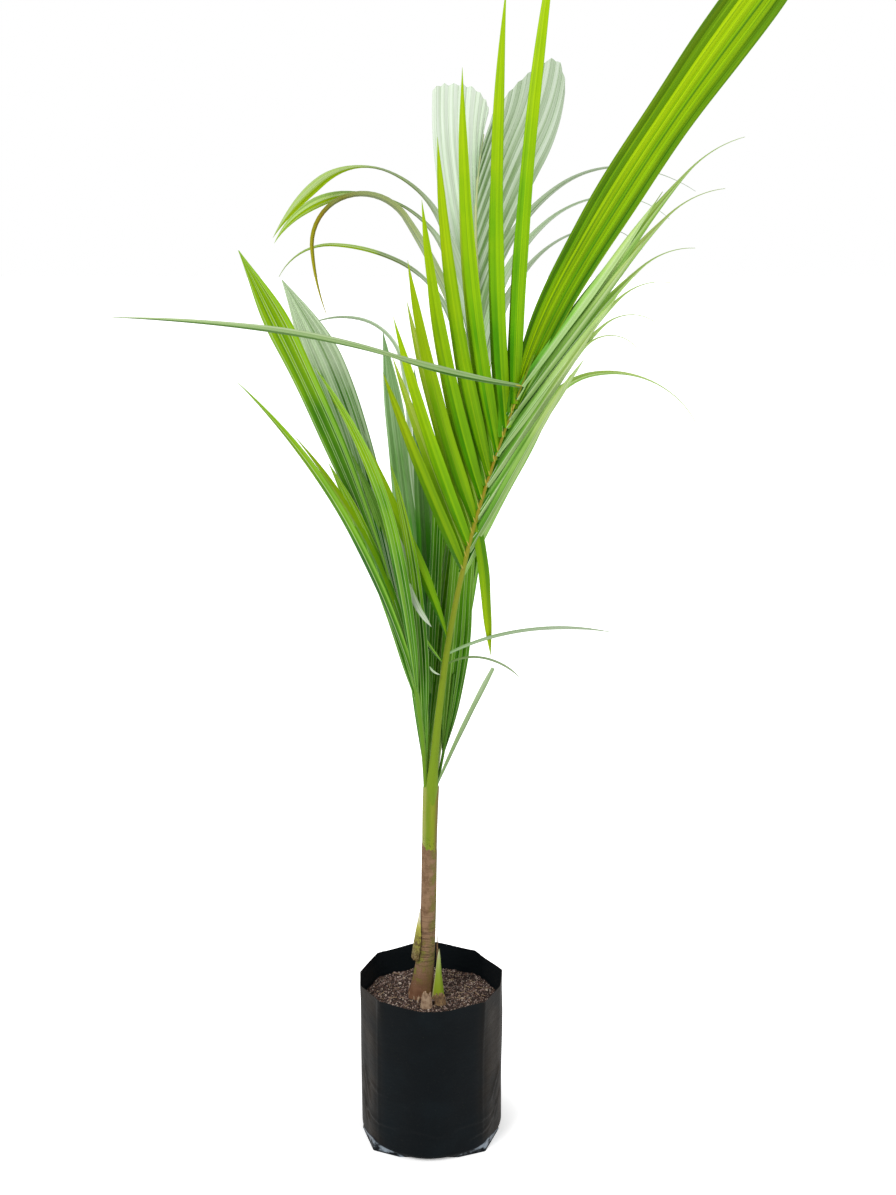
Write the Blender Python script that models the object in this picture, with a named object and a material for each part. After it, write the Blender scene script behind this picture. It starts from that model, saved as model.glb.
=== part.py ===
"""Young coconut palm in a black nursery bag, as separate closed solids.

Metres, +Z up. The bag stands with its flat underside on z = 0, +X is to the right in the
photograph and -Y is toward the viewer. Every rib and leaf is swept along a heading that
two angles give: the lean from upright toward +X, and the turn toward the viewer. Angles,
widths and radii along a curve are evenly spaced keys from its root to its tip.
"""
import math
from typing import NamedTuple

import bmesh
import bpy
import numpy as np

# Clear gap between neighbouring solids
GAP = 0.0003

# Bag: a tube of film with four creased corners, open at the top
BAG_HALF_WIDTH = 0.125
BAG_HALF_DEPTH = 0.118
BAG_HEIGHT = 0.291
BAG_WALL = 0.002
BAG_SIDES = 32
BAG_CREASE_SWELL = 0.050
BAG_CORNER_FLARE = 0.020
BAG_CORNER_HEIGHT = 0.034
BAG_FOOT_SHRINK = 0.05
BAG_FOOT_ROUND = 0.012
BAG_FOOT_POWER = 1.6
BAG_RIM_TILT = 0.002
# Waves of the rim: how many round it, their phase and their height
BAG_RIM_WAVES = ((3, 0.7, 0.0022), (5, -1.1, 0.0013))
BAG_HEIGHTS = (0.0, 0.004, BAG_FOOT_ROUND, BAG_CORNER_HEIGHT, 0.10, 0.19, 0.25)

# Potting soil: fills the bag to just below its rim, with a flat seat round the stem
SOIL_TOP = 0.2490
SOIL_SEAT_RADIUS = 0.048
SOIL_LUMP = 0.0028
SOIL_EDGE_DROP = 0.003
SOIL_RING_SCALES = (0.60, 0.76, 0.90)
# Waves of the lumpy top: how tightly they follow each other along X and along Y, and their phase
SOIL_WAVES = ((173.0, 96.0, 1.3), (-118.0, 151.0, 0.4), (311.0, -263.0, 0.0))

# Stem: from the flat cut at the soil to the flat top where the fronds stand
STEM_FOOT = (-0.019, 0.010, SOIL_TOP + GAP)
STEM_LENGTH = 0.399
STEM_LEAN = (9.0, 4.0, 1.0, 1.0, 2.5)
STEM_TOWARD = (4.0, 2.0, 0.5, 0.0, 0.0)
STEM_RADII = (0.0215, 0.0168, 0.0140, 0.0131, 0.0129, 0.0129, 0.0130, 0.0134, 0.0138)
STEM_SIDES = 16
STEM_STEPS = 18

# Torn sheath standing off the left of the stem, from its cut foot to its tip
SHEATH_REACH = (0.19, 0.43)
SHEATH_TURN = 198.0
SHEATH_HALF_ANGLES = (30, 36, 32, 18, 3)
SHEATH_THICKNESS = (0.0105, 0.0100, 0.0080, 0.0050, 0.0016)
SHEATH_CLEARANCE = 2.5 * GAP
SHEATH_STEPS = 8
SHEATH_ARC_POINTS = 5

# Ribs and leaves
RIB_SIDES = 8
RIB_STEPS = 16
LEAF_THICKNESS_SHARE = 0.0102
LEAF_FOLD_SHARE = 0.16
LEAF_LEAST_STEPS = 3
LEAF_STEPS_PER_KEY = 2
PLEAT_DEPTH_SHARE = 0.16
TIP_THICKNESS_SHARE = 0.35
TIP_THINNING = 5.0

# Width along a leaf from root to tip, as shares of its full width
LANCE = (0.40, 0.80, 1.00, 0.98, 0.86, 0.62, 0.05)
BLADE = (0.30, 0.92, 1.00, 0.92, 0.80, 0.58, 0.04)
OAR = (0.22, 0.50, 0.76, 0.92, 1.00, 0.84, 0.05)
FAN = (0.30, 0.50, 0.70, 0.86, 1.00, 1.00, 0.72)
SPEAR = (1.00, 0.92, 0.78, 0.60, 0.40, 0.20, 0.04)
STRIP = (0.80, 1.00, 1.00, 1.00, 1.00, 0.90, 0.30)


class Leaf(NamedTuple):
    """One leaflet or fused blade, rooted at a share of its rib's length."""
    place: float
    length: float
    width: float
    lean: tuple
    toward: tuple
    roll: tuple = (0.0,)
    pleats: int = 1
    outline: tuple = LANCE


class Row(NamedTuple):
    """A row of leaflets, with keys from the first leaflet to the last."""
    count: int
    place: tuple
    length: tuple
    width: tuple
    lean: tuple
    toward: tuple
    roll: tuple


class Frond(NamedTuple):
    """A rib and its leaves; the foot is measured from the middle of the stem's top."""
    foot: tuple
    length: float
    lean: tuple
    toward: tuple
    radii: tuple
    rows: tuple
    leaves: tuple


FRONT_FROND = Frond(
    foot=(0.0015, -0.0070), length=0.772, lean=(4, 7, 12, 17, 20), toward=(2, 6, 10, 14, 18),
    radii=(0.0054, 0.0076, 0.0072, 0.0064, 0.0056, 0.0046, 0.0036, 0.0028, 0.0024),
    rows=(
        Row(8, (0.51, 0.89), (0.365, 0.445, 0.545, 0.700), (0.019, 0.022, 0.021),
            ((-22, -19), (-19, -7), (-14, -1), (0, 9)), ((20, 14), (4, 0)), ((15,), (10,))),
        Row(6, (0.58, 0.90), (0.460, 0.430, 0.527), (0.023, 0.023),
            ((40, 33, 26, 25, 60, 150), (40, 39, 36, 30, 42, 102), (46, 36, 35, 30, 52, 76)),
            ((8, 10, 6), (0, -6, -10)), ((-10, -20, -50), (-10, -20, -50))),
    ),
    leaves=(
        Leaf(0.50, 0.600, 0.022, (29, 26, 37, 24, 80, 128, 134), (2, -4), (-5, -20, -55)),
        Leaf(0.93, 0.860, 0.092, (12, 32, 37, 33, 30), (6, 2), (14,), 5, BLADE),
        Leaf(0.93, 0.617, 0.017, (-80, -71, -82, -88), (22, 8), (60, 30)),
        Leaf(0.56, 0.205, 0.014, (135, 168, 174, 175, 175), (-10, 0), (10,)),
        Leaf(0.31, 0.286, 0.011, (60, 80, 99), (10, 8), (-50,)),
        Leaf(0.285, 0.142, 0.008, (54, 100, 138), (10, 8), (-50,)),
    ))
BACK_FROND = Frond(
    foot=(0.0064, 0.0077), length=1.120, lean=(6, 8, 6, 0, -2, 4), toward=(-4, -10, -16, -20, -18),
    radii=(0.0042, 0.0042, 0.0038, 0.0030, 0.0020),
    rows=(
        Row(3, (0.52, 0.64), (0.583, 0.605), (0.018, 0.018),
            ((-4, -9, -27, -65, -88, -152), (-1, -17, -25, -67, -128, -149)), ((-14, -8), (-4, 6)),
            ((25, 55, 35), (25, 55, 35))),
        Row(3, (0.54, 0.62), (0.523, 0.591), (0.017, 0.017),
            ((5, 12, 23, 45, 79, 142), (-4, 12, 31, 55, 95, 123)), ((-14, -8), (-4, 6)),
            ((-25, -55, -45), (-25, -55, -45))),
    ),
    leaves=(
        Leaf(0.58, 0.666, 0.015, (-6, -17, -27, -34, -107, -183, -200), (-9, 2), (25, 55, 40)),
        Leaf(0.74, 0.370, 0.080, (-11, -5, 0), (-16, -14), (10,), 4, FAN),
        Leaf(0.74, 0.422, 0.105, (12, 22, 25), (-16, -14), (-10,), 5, FAN),
    ))
LEFT_FROND = Frond(
    foot=(-0.0092, -0.0030), length=0.470, lean=(-2, -7, -15, -22), toward=(4, 12, 20),
    radii=(0.0040, 0.0044, 0.0034, 0.0024), rows=(),
    leaves=(
        Leaf(0.72, 0.622, 0.040, (-15, -21, -26), (16, 12), (35, 25), 2, OAR),
        Leaf(0.56, 0.620, 0.057, (-12, -14, -30), (6, 0), (-8,), 4, OAR),
        Leaf(0.40, 0.638, 0.018, (-13, -23, -41), (22, 24), (30,)),
        Leaf(0.68, 0.380, 0.013, (-14, -36), (24, 22), (35,)),
        Leaf(0.34, 0.630, 0.023, (-3, -10, -33), (24, 20), (10,)),
        Leaf(0.06, 0.420, 0.017, (0, -5, -12), (4, 10), (0,), 2, BLADE),
    ))
MIDDLE_FROND = Frond(
    foot=(-0.0078, 0.0056), length=0.430, lean=(3, 0, -3), toward=(-4, -12, -18),
    radii=(0.0038, 0.0036, 0.0030, 0.0022), rows=(),
    leaves=(
        Leaf(0.30, 0.658, 0.050, (-6, -9), (-18, -20), (8,), 4, BLADE),
        Leaf(0.66, 0.420, 0.032, (-2, -5), (-12, -10), (-8,), 2, BLADE),
        Leaf(0.90, 0.560, 0.012, (-17, -8, -2, -11, -79, -123), (-20, -10), (30, 50)),
        Leaf(0.22, 0.580, 0.034, (4, 9, -3), (-4, -8), (-10,), 2, BLADE),
        Leaf(0.05, 0.400, 0.018, (3, 2, 0), (-4, -12), (0,), 2, BLADE),
    ))
REAR_FROND = Frond(
    foot=(-0.0015, 0.0108), length=0.340, lean=(2, 1, 0), toward=(-8, -20, -32),
    radii=(0.0026, 0.0026, 0.0022), rows=(),
    leaves=(
        Leaf(0.50, 0.360, 0.050, (-11, -6, -2), (-34, -44), (15,), 4, BLADE),
        Leaf(0.55, 0.350, 0.050, (13, 8, 3), (-32, -42), (-15,), 4, BLADE),
    ))
LOW_FROND = Frond(
    foot=(0.0095, -0.0012), length=0.200, lean=(12, 8, 5), toward=(1, 0),
    radii=(0.0026, 0.0026, 0.0024), rows=(),
    leaves=(Leaf(0.35, 0.500, 0.046, (7, 4, 4), (0, -2), (-12,), 4, BLADE),))

# Each frond's name, sizes and colour
FRONDS = (
    ("front_frond", FRONT_FROND, "leaf_front"),
    ("back_frond", BACK_FROND, "leaf_back"),
    ("left_frond", LEFT_FROND, "leaf_left"),
    ("middle_frond", MIDDLE_FROND, "leaf_middle"),
    ("rear_frond", REAR_FROND, "leaf_middle"),
    ("low_frond", LOW_FROND, "leaf_low"),
)

# Strip of leaf margin beside the petioles; its foot is measured from the stem's top
STRIP_FOOT = (0.0098, -0.0085)
STRIP_STEPS = 8
STRIP_LEAF = Leaf(0.0, 0.238, 0.010, (20, 23.5, 26), (8, 4), (-40, 10), 1, STRIP)

# Second shoot, whose pieces stand on the soil: a green scale leaf, a dry spike and two stubs
SCALE_LEAF_FOOT = (0.0128, -0.0030)
SCALE_LEAF_LENGTH = 0.094
SCALE_LEAF_HALF_WIDTH = 0.011
SCALE_LEAF_HALF_THICKNESS = 0.0025
SCALE_LEAF_TIP_HALF_THICKNESS = 0.0005
SCALE_LEAF_LEAN = (0.0, 2.0)
SCALE_LEAF_TOWARD = (0.0, -2.0)
DRY_SPIKE_FOOT = (0.0130, 0.0060)
DRY_SPIKE_LENGTH = 0.120
DRY_SPIKE_RADII = (0.0024, 0.0022, 0.0018, 0.0006)
DRY_SPIKE_LEAN = (-2.0, 0.0)
DRY_SPIKE_TOWARD = (0.0, -2.0)
SHOOT_SIDES = 8
SHOOT_STEPS = 6
STUB_RADIUS = 0.0105
STUB_DEPTH_SHARE = 0.7
STUB_TAPER = (1.0, 0.7)
STUB_STEPS = 3

# Each stub's name, foot, height, lean and turn toward the viewer
STUBS = (
    ("husk_stub_front", (-0.0075, -0.0350), 0.028, 4.0, -8.0),
    ("husk_stub_right", (0.0165, -0.0240), 0.020, 4.0, -4.0),
)

# Base colour and roughness of each finish
FINISHES = {
    "bag_film": ((0.013, 0.015, 0.018), 0.38),
    "soil": ((0.080, 0.048, 0.036), 0.95),
    "bark": ((0.250, 0.165, 0.085), 0.75),
    "sheath_green": ((0.340, 0.410, 0.060), 0.60),
    "scale_green": ((0.250, 0.440, 0.030), 0.50),
    "dry_husk": ((0.330, 0.220, 0.120), 0.85),
    "leaf_front": ((0.250, 0.430, 0.020), 0.45),
    "leaf_back": ((0.420, 0.560, 0.380), 0.50),
    "leaf_left": ((0.140, 0.330, 0.030), 0.45),
    "leaf_middle": ((0.230, 0.370, 0.190), 0.50),
    "leaf_low": ((0.080, 0.210, 0.025), 0.45),
}


def along(keys, share):
    """Value a share of the way through evenly spaced keys."""
    if len(keys) == 1:
        return float(keys[0])
    return float(np.interp(share, np.linspace(0.0, 1.0, len(keys)), keys))


def keys_between(key_rows, share):
    """Keys a share of the way through a row of equally long tuples of keys."""
    return tuple(along(column, share) for column in zip(*key_rows))


def heading(lean, toward):
    """Unit direction from the lean toward +X and the turn toward the viewer."""
    lean_angle, toward_angle = math.radians(lean), math.radians(toward)
    return np.array((math.sin(lean_angle) * math.cos(toward_angle), -math.sin(toward_angle),
                     math.cos(lean_angle) * math.cos(toward_angle)))


def sweep(start, length, lean, toward, steps):
    """Points of a curve whose heading follows the lean and toward keys."""
    points = [np.array(start, dtype=float)]
    for step in range(steps):
        share = (step + 0.5) / steps
        points.append(points[-1] + heading(along(lean, share), along(toward, share)) * length / steps)
    return np.array(points)


def point_at(points, share):
    """Point a share of the way along a swept curve."""
    position = share * (len(points) - 1)
    index = min(int(position), len(points) - 2)
    return points[index] + (points[index + 1] - points[index]) * (position - index)


def section_axes(points, roll):
    """Width and face directions at each point; with no roll the face looks at the viewer."""
    axes = []
    for index in range(len(points)):
        before, after = max(index - 1, 0), min(index + 1, len(points) - 1)
        tangent = points[after] - points[before]
        tangent /= np.linalg.norm(tangent)
        face = np.array((0.0, -1.0, 0.0))
        face -= tangent * face.dot(tangent)
        face /= np.linalg.norm(face)
        across = np.cross(tangent, face)
        angle = math.radians(along(roll, index / (len(points) - 1)))
        axes.append((across * math.cos(angle) + face * math.sin(angle),
                     face * math.cos(angle) - across * math.sin(angle)))
    return axes


def turns(sides):
    """Evenly spaced angles round a full circle."""
    return [2.0 * math.pi * side / sides for side in range(sides)]


def lofted(sections):
    """Vertices and faces of a solid lofted through closed sections, capped at both ends."""
    count = len(sections[0])
    vertices = [tuple(point) for section in sections for point in section]
    faces = []
    for ring in range(len(sections) - 1):
        for side in range(count):
            a, b = ring * count + side, ring * count + (side + 1) % count
            faces += [(a, b, b + count), (a, b + count, a + count)]
    last = (len(sections) - 1) * count
    faces.append(tuple(range(count - 1, -1, -1)))
    faces.append(tuple(range(last, last + count)))
    return vertices, faces


def leaflet_profile(width, half_thickness):
    """Section of a leaflet: four corners, folded down on either side of the midrib."""
    fold = width * LEAF_FOLD_SHARE
    return [(-0.5 * width, -fold), (0.0, -half_thickness), (0.5 * width, -fold), (0.0, half_thickness)]


def pleated_profile(width, half_thickness, pleats):
    """Section of a fused blade: a zigzag of even thickness."""
    depth = width * PLEAT_DEPTH_SHARE / pleats
    zigzag = [((place / (2 * pleats) - 0.5) * width, depth if place % 2 else -depth)
              for place in range(2 * pleats + 1)]
    lower = [(x, height - half_thickness) for x, height in zigzag]
    upper = [(x, height + half_thickness) for x, height in zigzag]
    return lower + upper[::-1]


def leaf_solid(points, leaf):
    """A leaflet or blade swept along its centre line."""
    sections = []
    for index, (across, face) in enumerate(section_axes(points, leaf.roll)):
        share = index / (len(points) - 1)
        width = leaf.width * along(leaf.outline, share)
        thinning = min(1.0, TIP_THICKNESS_SHARE + TIP_THINNING * (1.0 - share))
        half = 0.5 * leaf.length * LEAF_THICKNESS_SHARE * thinning
        if leaf.pleats == 1:
            profile = leaflet_profile(width, half)
        else:
            profile = pleated_profile(width, half, leaf.pleats)
        sections.append([points[index] + across * x + face * y for x, y in profile])
    return lofted(sections)


def rod_solid(points, radii, sides):
    """A tapering round rod along a curve, with its foot cut level."""
    sections = []
    for index, (across, face) in enumerate(section_axes(points, (0.0,))):
        radius = along(radii, index / (len(points) - 1))
        sections.append([points[index] + (across * math.cos(turn) + face * math.sin(turn)) * radius
                         for turn in turns(sides)])
    for point in sections[0]:
        point[2] = points[0][2]
    return lofted(sections)


def upright_solid(points, half_widths, half_depths, sides):
    """A solid whose level oval sections follow a curve."""
    sections = []
    for index, point in enumerate(points):
        share = index / (len(points) - 1)
        width, depth = along(half_widths, share), along(half_depths, share)
        sections.append([point + np.array((width * math.cos(turn), depth * math.sin(turn), 0.0))
                         for turn in turns(sides)])
    return lofted(sections)


def finish_material(name):
    """Principled material of a finish, made once."""
    made = bpy.data.materials.get(name)
    if made is None:
        colour, roughness = FINISHES[name]
        made = bpy.data.materials.new(name)
        made.use_nodes = True
        made.diffuse_color = (*colour, 1.0)
        shader = made.node_tree.nodes["Principled BSDF"]
        shader.inputs["Base Color"].default_value = (*colour, 1.0)
        shader.inputs["Roughness"].default_value = roughness
        shader.inputs["Metallic"].default_value = 0.0
    return made


def add_object(name, solid, finish):
    """Object from vertices and faces, with its faces turned outward."""
    mesh = bpy.data.meshes.new(name)
    mesh.from_pydata(solid[0], [], solid[1])
    work = bmesh.new()
    work.from_mesh(mesh)
    bmesh.ops.triangulate(work, faces=work.faces[:])
    bmesh.ops.recalc_face_normals(work, faces=work.faces[:])
    work.to_mesh(mesh)
    work.free()
    mesh.shade_smooth()
    mesh.materials.append(finish_material(finish))
    made = bpy.data.objects.new(name, mesh)
    bpy.context.scene.collection.objects.link(made)
    return made


def joined_vertices(first, unseen):
    """The vertices joined to the first by edges, taken out of the unseen ones."""
    stack, found = [first], [first]
    while stack:
        for edge in stack.pop().link_edges:
            for vertex in edge.verts:
                if vertex in unseen:
                    unseen.discard(vertex)
                    stack.append(vertex)
                    found.append(vertex)
    return found


def keep_outer_skin(target):
    """Drops loose scraps and the skins of sealed hollows, so that only the largest skin stays."""
    work = bmesh.new()
    work.from_mesh(target.data)
    unseen, skins = set(work.verts), []
    while unseen:
        skins.append(joined_vertices(unseen.pop(), unseen))
    skins.sort(key=len)
    for skin in skins[:-1]:
        bmesh.ops.delete(work, geom=skin, context="VERTS")
    work.to_mesh(target.data)
    work.free()


def fuse(name, solids, finish):
    """One object from overlapping solids, joined by one union on a collection."""
    target = add_object(name, solids[0], finish)
    group = bpy.data.collections.new(name + "_pieces")
    for index, solid in enumerate(solids[1:]):
        piece = add_object(f"{name}_piece_{index}", solid, finish)
        bpy.context.scene.collection.objects.unlink(piece)
        group.objects.link(piece)
    bpy.context.scene.collection.children.link(group)
    union = target.modifiers.new("union", "BOOLEAN")
    union.operation = "UNION"
    union.operand_type = "COLLECTION"
    union.collection = group
    union.solver = "EXACT"
    bpy.context.view_layer.objects.active = target
    bpy.ops.object.modifier_apply(modifier=union.name)
    for piece in list(group.objects):
        bpy.data.objects.remove(piece, do_unlink=True)
    bpy.data.collections.remove(group)
    keep_outer_skin(target)
    target.data.shade_smooth()
    return target


def row_leaves(row):
    """The leaflets of a row, each worked out from its place in the row."""
    for index in range(row.count):
        share = index / (row.count - 1)
        yield Leaf(along(row.place, share), along(row.length, share), along(row.width, share),
                   keys_between(row.lean, share), keys_between(row.toward, share),
                   keys_between(row.roll, share))


def build_frond(name, frond, stem_top, finish):
    """A frond with its foot standing just clear of the stem's flat top."""
    start = stem_top + np.array((*frond.foot, GAP))
    rib = sweep(start, frond.length, frond.lean, frond.toward, RIB_STEPS)
    solids = [rod_solid(rib, frond.radii, RIB_SIDES)]
    leaves = [leaf for row in frond.rows for leaf in row_leaves(row)] + list(frond.leaves)
    for leaf in leaves:
        steps = LEAF_LEAST_STEPS + LEAF_STEPS_PER_KEY * len(leaf.lean)
        points = sweep(point_at(rib, leaf.place), leaf.length, leaf.lean, leaf.toward, steps)
        solids.append(leaf_solid(points, leaf))
    return fuse(name, solids, finish)


def bag_radius(turn, height):
    """Distance of the bag's outer wall from its axis, at a turn about +Z and a height."""
    ellipse = 1.0 / math.hypot(math.cos(turn) / BAG_HALF_WIDTH, math.sin(turn) / BAG_HALF_DEPTH)
    crease = max(0.0, -math.cos(4.0 * turn)) ** 2
    corner = max(0.0, 1.0 - height / BAG_CORNER_HEIGHT)
    foot = max(0.0, 1.0 - height / BAG_FOOT_ROUND) ** BAG_FOOT_POWER
    swell = crease * (BAG_CREASE_SWELL + BAG_CORNER_FLARE * corner)
    return ellipse * (1.0 + swell - BAG_FOOT_SHRINK * (1.0 - crease) * foot)


def bag_ring(height, inset=0.0, scale=1.0):
    """Level ring of points on the bag's wall, moved in or scaled toward the axis."""
    ring = []
    for side in range(BAG_SIDES):
        turn = 2.0 * math.pi * (side + 0.5) / BAG_SIDES
        radius = (bag_radius(turn, height) - inset) * scale
        ring.append((radius * math.cos(turn), radius * math.sin(turn), height))
    return ring


def rim_ring(inset):
    """Ring of points on the bag's rim, which waves and rises a little toward the back."""
    ring = []
    for x, y, height in bag_ring(BAG_HEIGHT, inset):
        turn = math.atan2(y, x)
        rise = BAG_RIM_TILT * math.sin(turn)
        rise += sum(size * math.cos(count * turn + phase) for count, phase, size in BAG_RIM_WAVES)
        ring.append((x, y, height + rise))
    return ring


def at_height(ring, height):
    """A ring moved straight up or down to one height."""
    return [(x, y, height) for x, y, _ in ring]


def build_bag():
    """The bag as one cup with a flat underside."""
    rings = [bag_ring(height) for height in BAG_HEIGHTS]
    rings += [rim_ring(0.0), rim_ring(BAG_WALL)]
    rings += [bag_ring(height, BAG_WALL) for height in reversed(BAG_HEIGHTS)]
    rings[-1] = at_height(rings[-1], BAG_WALL)
    add_object("grow_bag", lofted(rings), "bag_film")


def lump(x, y):
    """Height of the soil's small bumps at a place, from none to one."""
    bumps = sum(math.sin(along_x * x + along_y * y + phase) for along_x, along_y, phase in SOIL_WAVES)
    return 0.5 + 0.5 * bumps / len(SOIL_WAVES)


def build_soil():
    """The soil as a plug that fills the bag."""
    inset = BAG_WALL + 2.0 * GAP
    rings = [bag_ring(SOIL_TOP, scale=SOIL_SEAT_RADIUS / BAG_HALF_WIDTH)]
    for scale in SOIL_RING_SCALES:
        ring = bag_ring(SOIL_TOP, scale=scale)
        rings.append([(x, y, SOIL_TOP - SOIL_LUMP * lump(x, y)) for x, y, _ in ring])
    rings.append(bag_ring(SOIL_TOP - SOIL_EDGE_DROP, inset))
    rings += [bag_ring(height, inset) for height in reversed(BAG_HEIGHTS[:-1])]
    rings[-1] = at_height(rings[-1], BAG_WALL + GAP)
    add_object("potting_soil", lofted(rings), "soil")


def build_stem():
    """The stem with its flare at the soil, cut level at both ends; gives its centre line."""
    centre = sweep(STEM_FOOT, STEM_LENGTH, STEM_LEAN, STEM_TOWARD, STEM_STEPS)
    add_object("stem", upright_solid(centre, STEM_RADII, STEM_RADII, STEM_SIDES), "bark")
    return centre


def build_sheath(centre):
    """The torn sheath as a thick shell that wraps part of the stem."""
    sections = []
    for index in range(SHEATH_STEPS + 1):
        share = index / SHEATH_STEPS
        place = along(SHEATH_REACH, share)
        middle = point_at(centre, place)
        inner = along(STEM_RADII, place) + SHEATH_CLEARANCE
        outer = inner + along(SHEATH_THICKNESS, share)
        half = along(SHEATH_HALF_ANGLES, share)
        angles = np.radians(np.linspace(SHEATH_TURN - half, SHEATH_TURN + half, SHEATH_ARC_POINTS))
        arc = [np.array((math.cos(angle), math.sin(angle), 0.0)) for angle in angles]
        sections.append([middle + d * inner for d in arc] + [middle + d * outer for d in arc[::-1]])
    add_object("split_sheath", lofted(sections), "sheath_green")


def build_strip(stem_top):
    """The narrow strip beside the petioles, with its foot level on the stem."""
    start = stem_top + np.array((*STRIP_FOOT, GAP))
    points = sweep(start, STRIP_LEAF.length, STRIP_LEAF.lean, STRIP_LEAF.toward, STRIP_STEPS)
    vertices, faces = leaf_solid(points, STRIP_LEAF)
    vertices = [(x, y, max(z, start[2])) for x, y, z in vertices]
    add_object("leaf_strip", (vertices, faces), "leaf_back")


def on_soil(foot):
    """Point just clear of the soil's flat seat."""
    return np.array((*foot, SOIL_TOP + GAP))


def build_second_shoot():
    """The scale leaf, dry spike and stubs of the second shoot."""
    foot = on_soil(SCALE_LEAF_FOOT)
    points = sweep(foot, SCALE_LEAF_LENGTH, SCALE_LEAF_LEAN, SCALE_LEAF_TOWARD, SHOOT_STEPS)
    widths = [SCALE_LEAF_HALF_WIDTH * share for share in SPEAR]
    depths = (SCALE_LEAF_HALF_THICKNESS, SCALE_LEAF_TIP_HALF_THICKNESS)
    add_object("scale_leaf", upright_solid(points, widths, depths, SHOOT_SIDES), "scale_green")
    foot = on_soil(DRY_SPIKE_FOOT)
    points = sweep(foot, DRY_SPIKE_LENGTH, DRY_SPIKE_LEAN, DRY_SPIKE_TOWARD, SHOOT_STEPS)
    add_object("dry_spike", rod_solid(points, DRY_SPIKE_RADII, SHOOT_SIDES), "dry_husk")
    widths = [STUB_RADIUS * share for share in STUB_TAPER]
    depths = [width * STUB_DEPTH_SHARE for width in widths]
    for name, foot, height, lean, toward in STUBS:
        points = sweep(on_soil(foot), height, (lean,), (toward,), STUB_STEPS)
        add_object(name, upright_solid(points, widths, depths, SHOOT_SIDES), "dry_husk")


def main():
    """Clears the scene and builds every solid."""
    for old in list(bpy.data.objects):
        bpy.data.objects.remove(old, do_unlink=True)
    build_bag()
    build_soil()
    centre = build_stem()
    build_sheath(centre)
    for name, frond, finish in FRONDS:
        build_frond(name, frond, centre[-1], finish)
    build_strip(centre[-1])
    build_second_shoot()


main()
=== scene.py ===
"""Dressed young coconut palm in a black nursery bag.

Metres, +Z up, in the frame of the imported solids: +X is to the right in the photograph and
-Y is toward the viewer. Every rib and leaf is swept by the rule that made its solid, from
the same sizes, and is carried on to midribs, pleats and thin tips within the same reach.
"""
import logging
import math
from dataclasses import dataclass, field
from enum import Enum
from typing import Any, Sequence

import bmesh
import bpy
import numpy as np
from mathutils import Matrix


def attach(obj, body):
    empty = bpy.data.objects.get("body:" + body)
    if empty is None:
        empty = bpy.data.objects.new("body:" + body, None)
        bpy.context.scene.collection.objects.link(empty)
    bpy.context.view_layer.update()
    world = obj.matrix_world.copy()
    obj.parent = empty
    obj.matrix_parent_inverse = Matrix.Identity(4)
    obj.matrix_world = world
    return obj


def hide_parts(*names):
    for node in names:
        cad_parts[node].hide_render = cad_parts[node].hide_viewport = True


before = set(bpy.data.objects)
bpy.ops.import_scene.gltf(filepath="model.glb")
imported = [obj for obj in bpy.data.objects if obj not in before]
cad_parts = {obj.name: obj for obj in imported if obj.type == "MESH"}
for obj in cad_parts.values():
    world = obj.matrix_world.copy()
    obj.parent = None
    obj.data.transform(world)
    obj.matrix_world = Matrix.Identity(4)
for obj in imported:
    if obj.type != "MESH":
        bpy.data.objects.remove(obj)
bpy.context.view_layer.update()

log = logging.getLogger("palm")

Keys = Sequence[float]
KeyRows = tuple[tuple[float, ...], ...]
Stops = tuple[tuple[float, str], ...]
Socket = bpy.types.NodeSocket
Material = bpy.types.Material
Materials = dict[Any, Material]

GAP = 0.0003
SOIL_TOP = 0.2490
FULL_TURN = 2.0 * math.pi
VIEWER = np.array((0.0, -1.0, 0.0))
UP = np.array((0.0, 0.0, 1.0))
WHITE = (1.0, 1.0, 1.0, 1.0)
STREAK_SHADE = (0.36, 0.52, 0.22, 1.0)
VEIN_SHADE = (0.55, 0.62, 0.45, 1.0)
GRAIN_SHADE = (0.66, 0.62, 0.45, 1.0)


def srgb(code: str) -> tuple[float, float, float, float]:
    """Linear colour, opaque, of a colour code.

    Args:
        code: Red, green and blue as pairs of hexadecimal digits.

    Returns:
        The linear colour.
    """
    channels = [int(code[place:place + 2], 16) / 255.0 for place in (0, 2, 4)]
    red, green, blue = (c / 12.92 if c <= 0.04045 else ((c + 0.055) / 1.055) ** 2.4 for c in channels)
    return red, green, blue, 1.0


def stacked(*parts: Any) -> np.ndarray:
    """Numbers and arrays, spread to one shape and stacked as a last axis."""
    return np.stack(np.broadcast_arrays(*parts), axis=-1)


def turns(sides: int, shift: float = 0.0) -> np.ndarray:
    """Turns of the places round a ring, in radians, as one row."""
    return (FULL_TURN * (np.arange(sides) + shift) / sides)[None]


def around(radius: Any, turn: Any, height: Any, squash: float = 1.0) -> np.ndarray:
    """Points at a distance and a turn round the upright axis."""
    return stacked(radius * np.cos(turn), squash * radius * np.sin(turn), height)


def limited(value: Any) -> Any:
    """Value kept between none and one."""
    return np.clip(value, 0.0, 1.0)


def along(keys: Keys, share: Any) -> Any:
    """Value a share of the way through evenly spaced keys, on straight lines between them."""
    return np.interp(share, np.linspace(0.0, 1.0, len(keys)), keys)


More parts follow.
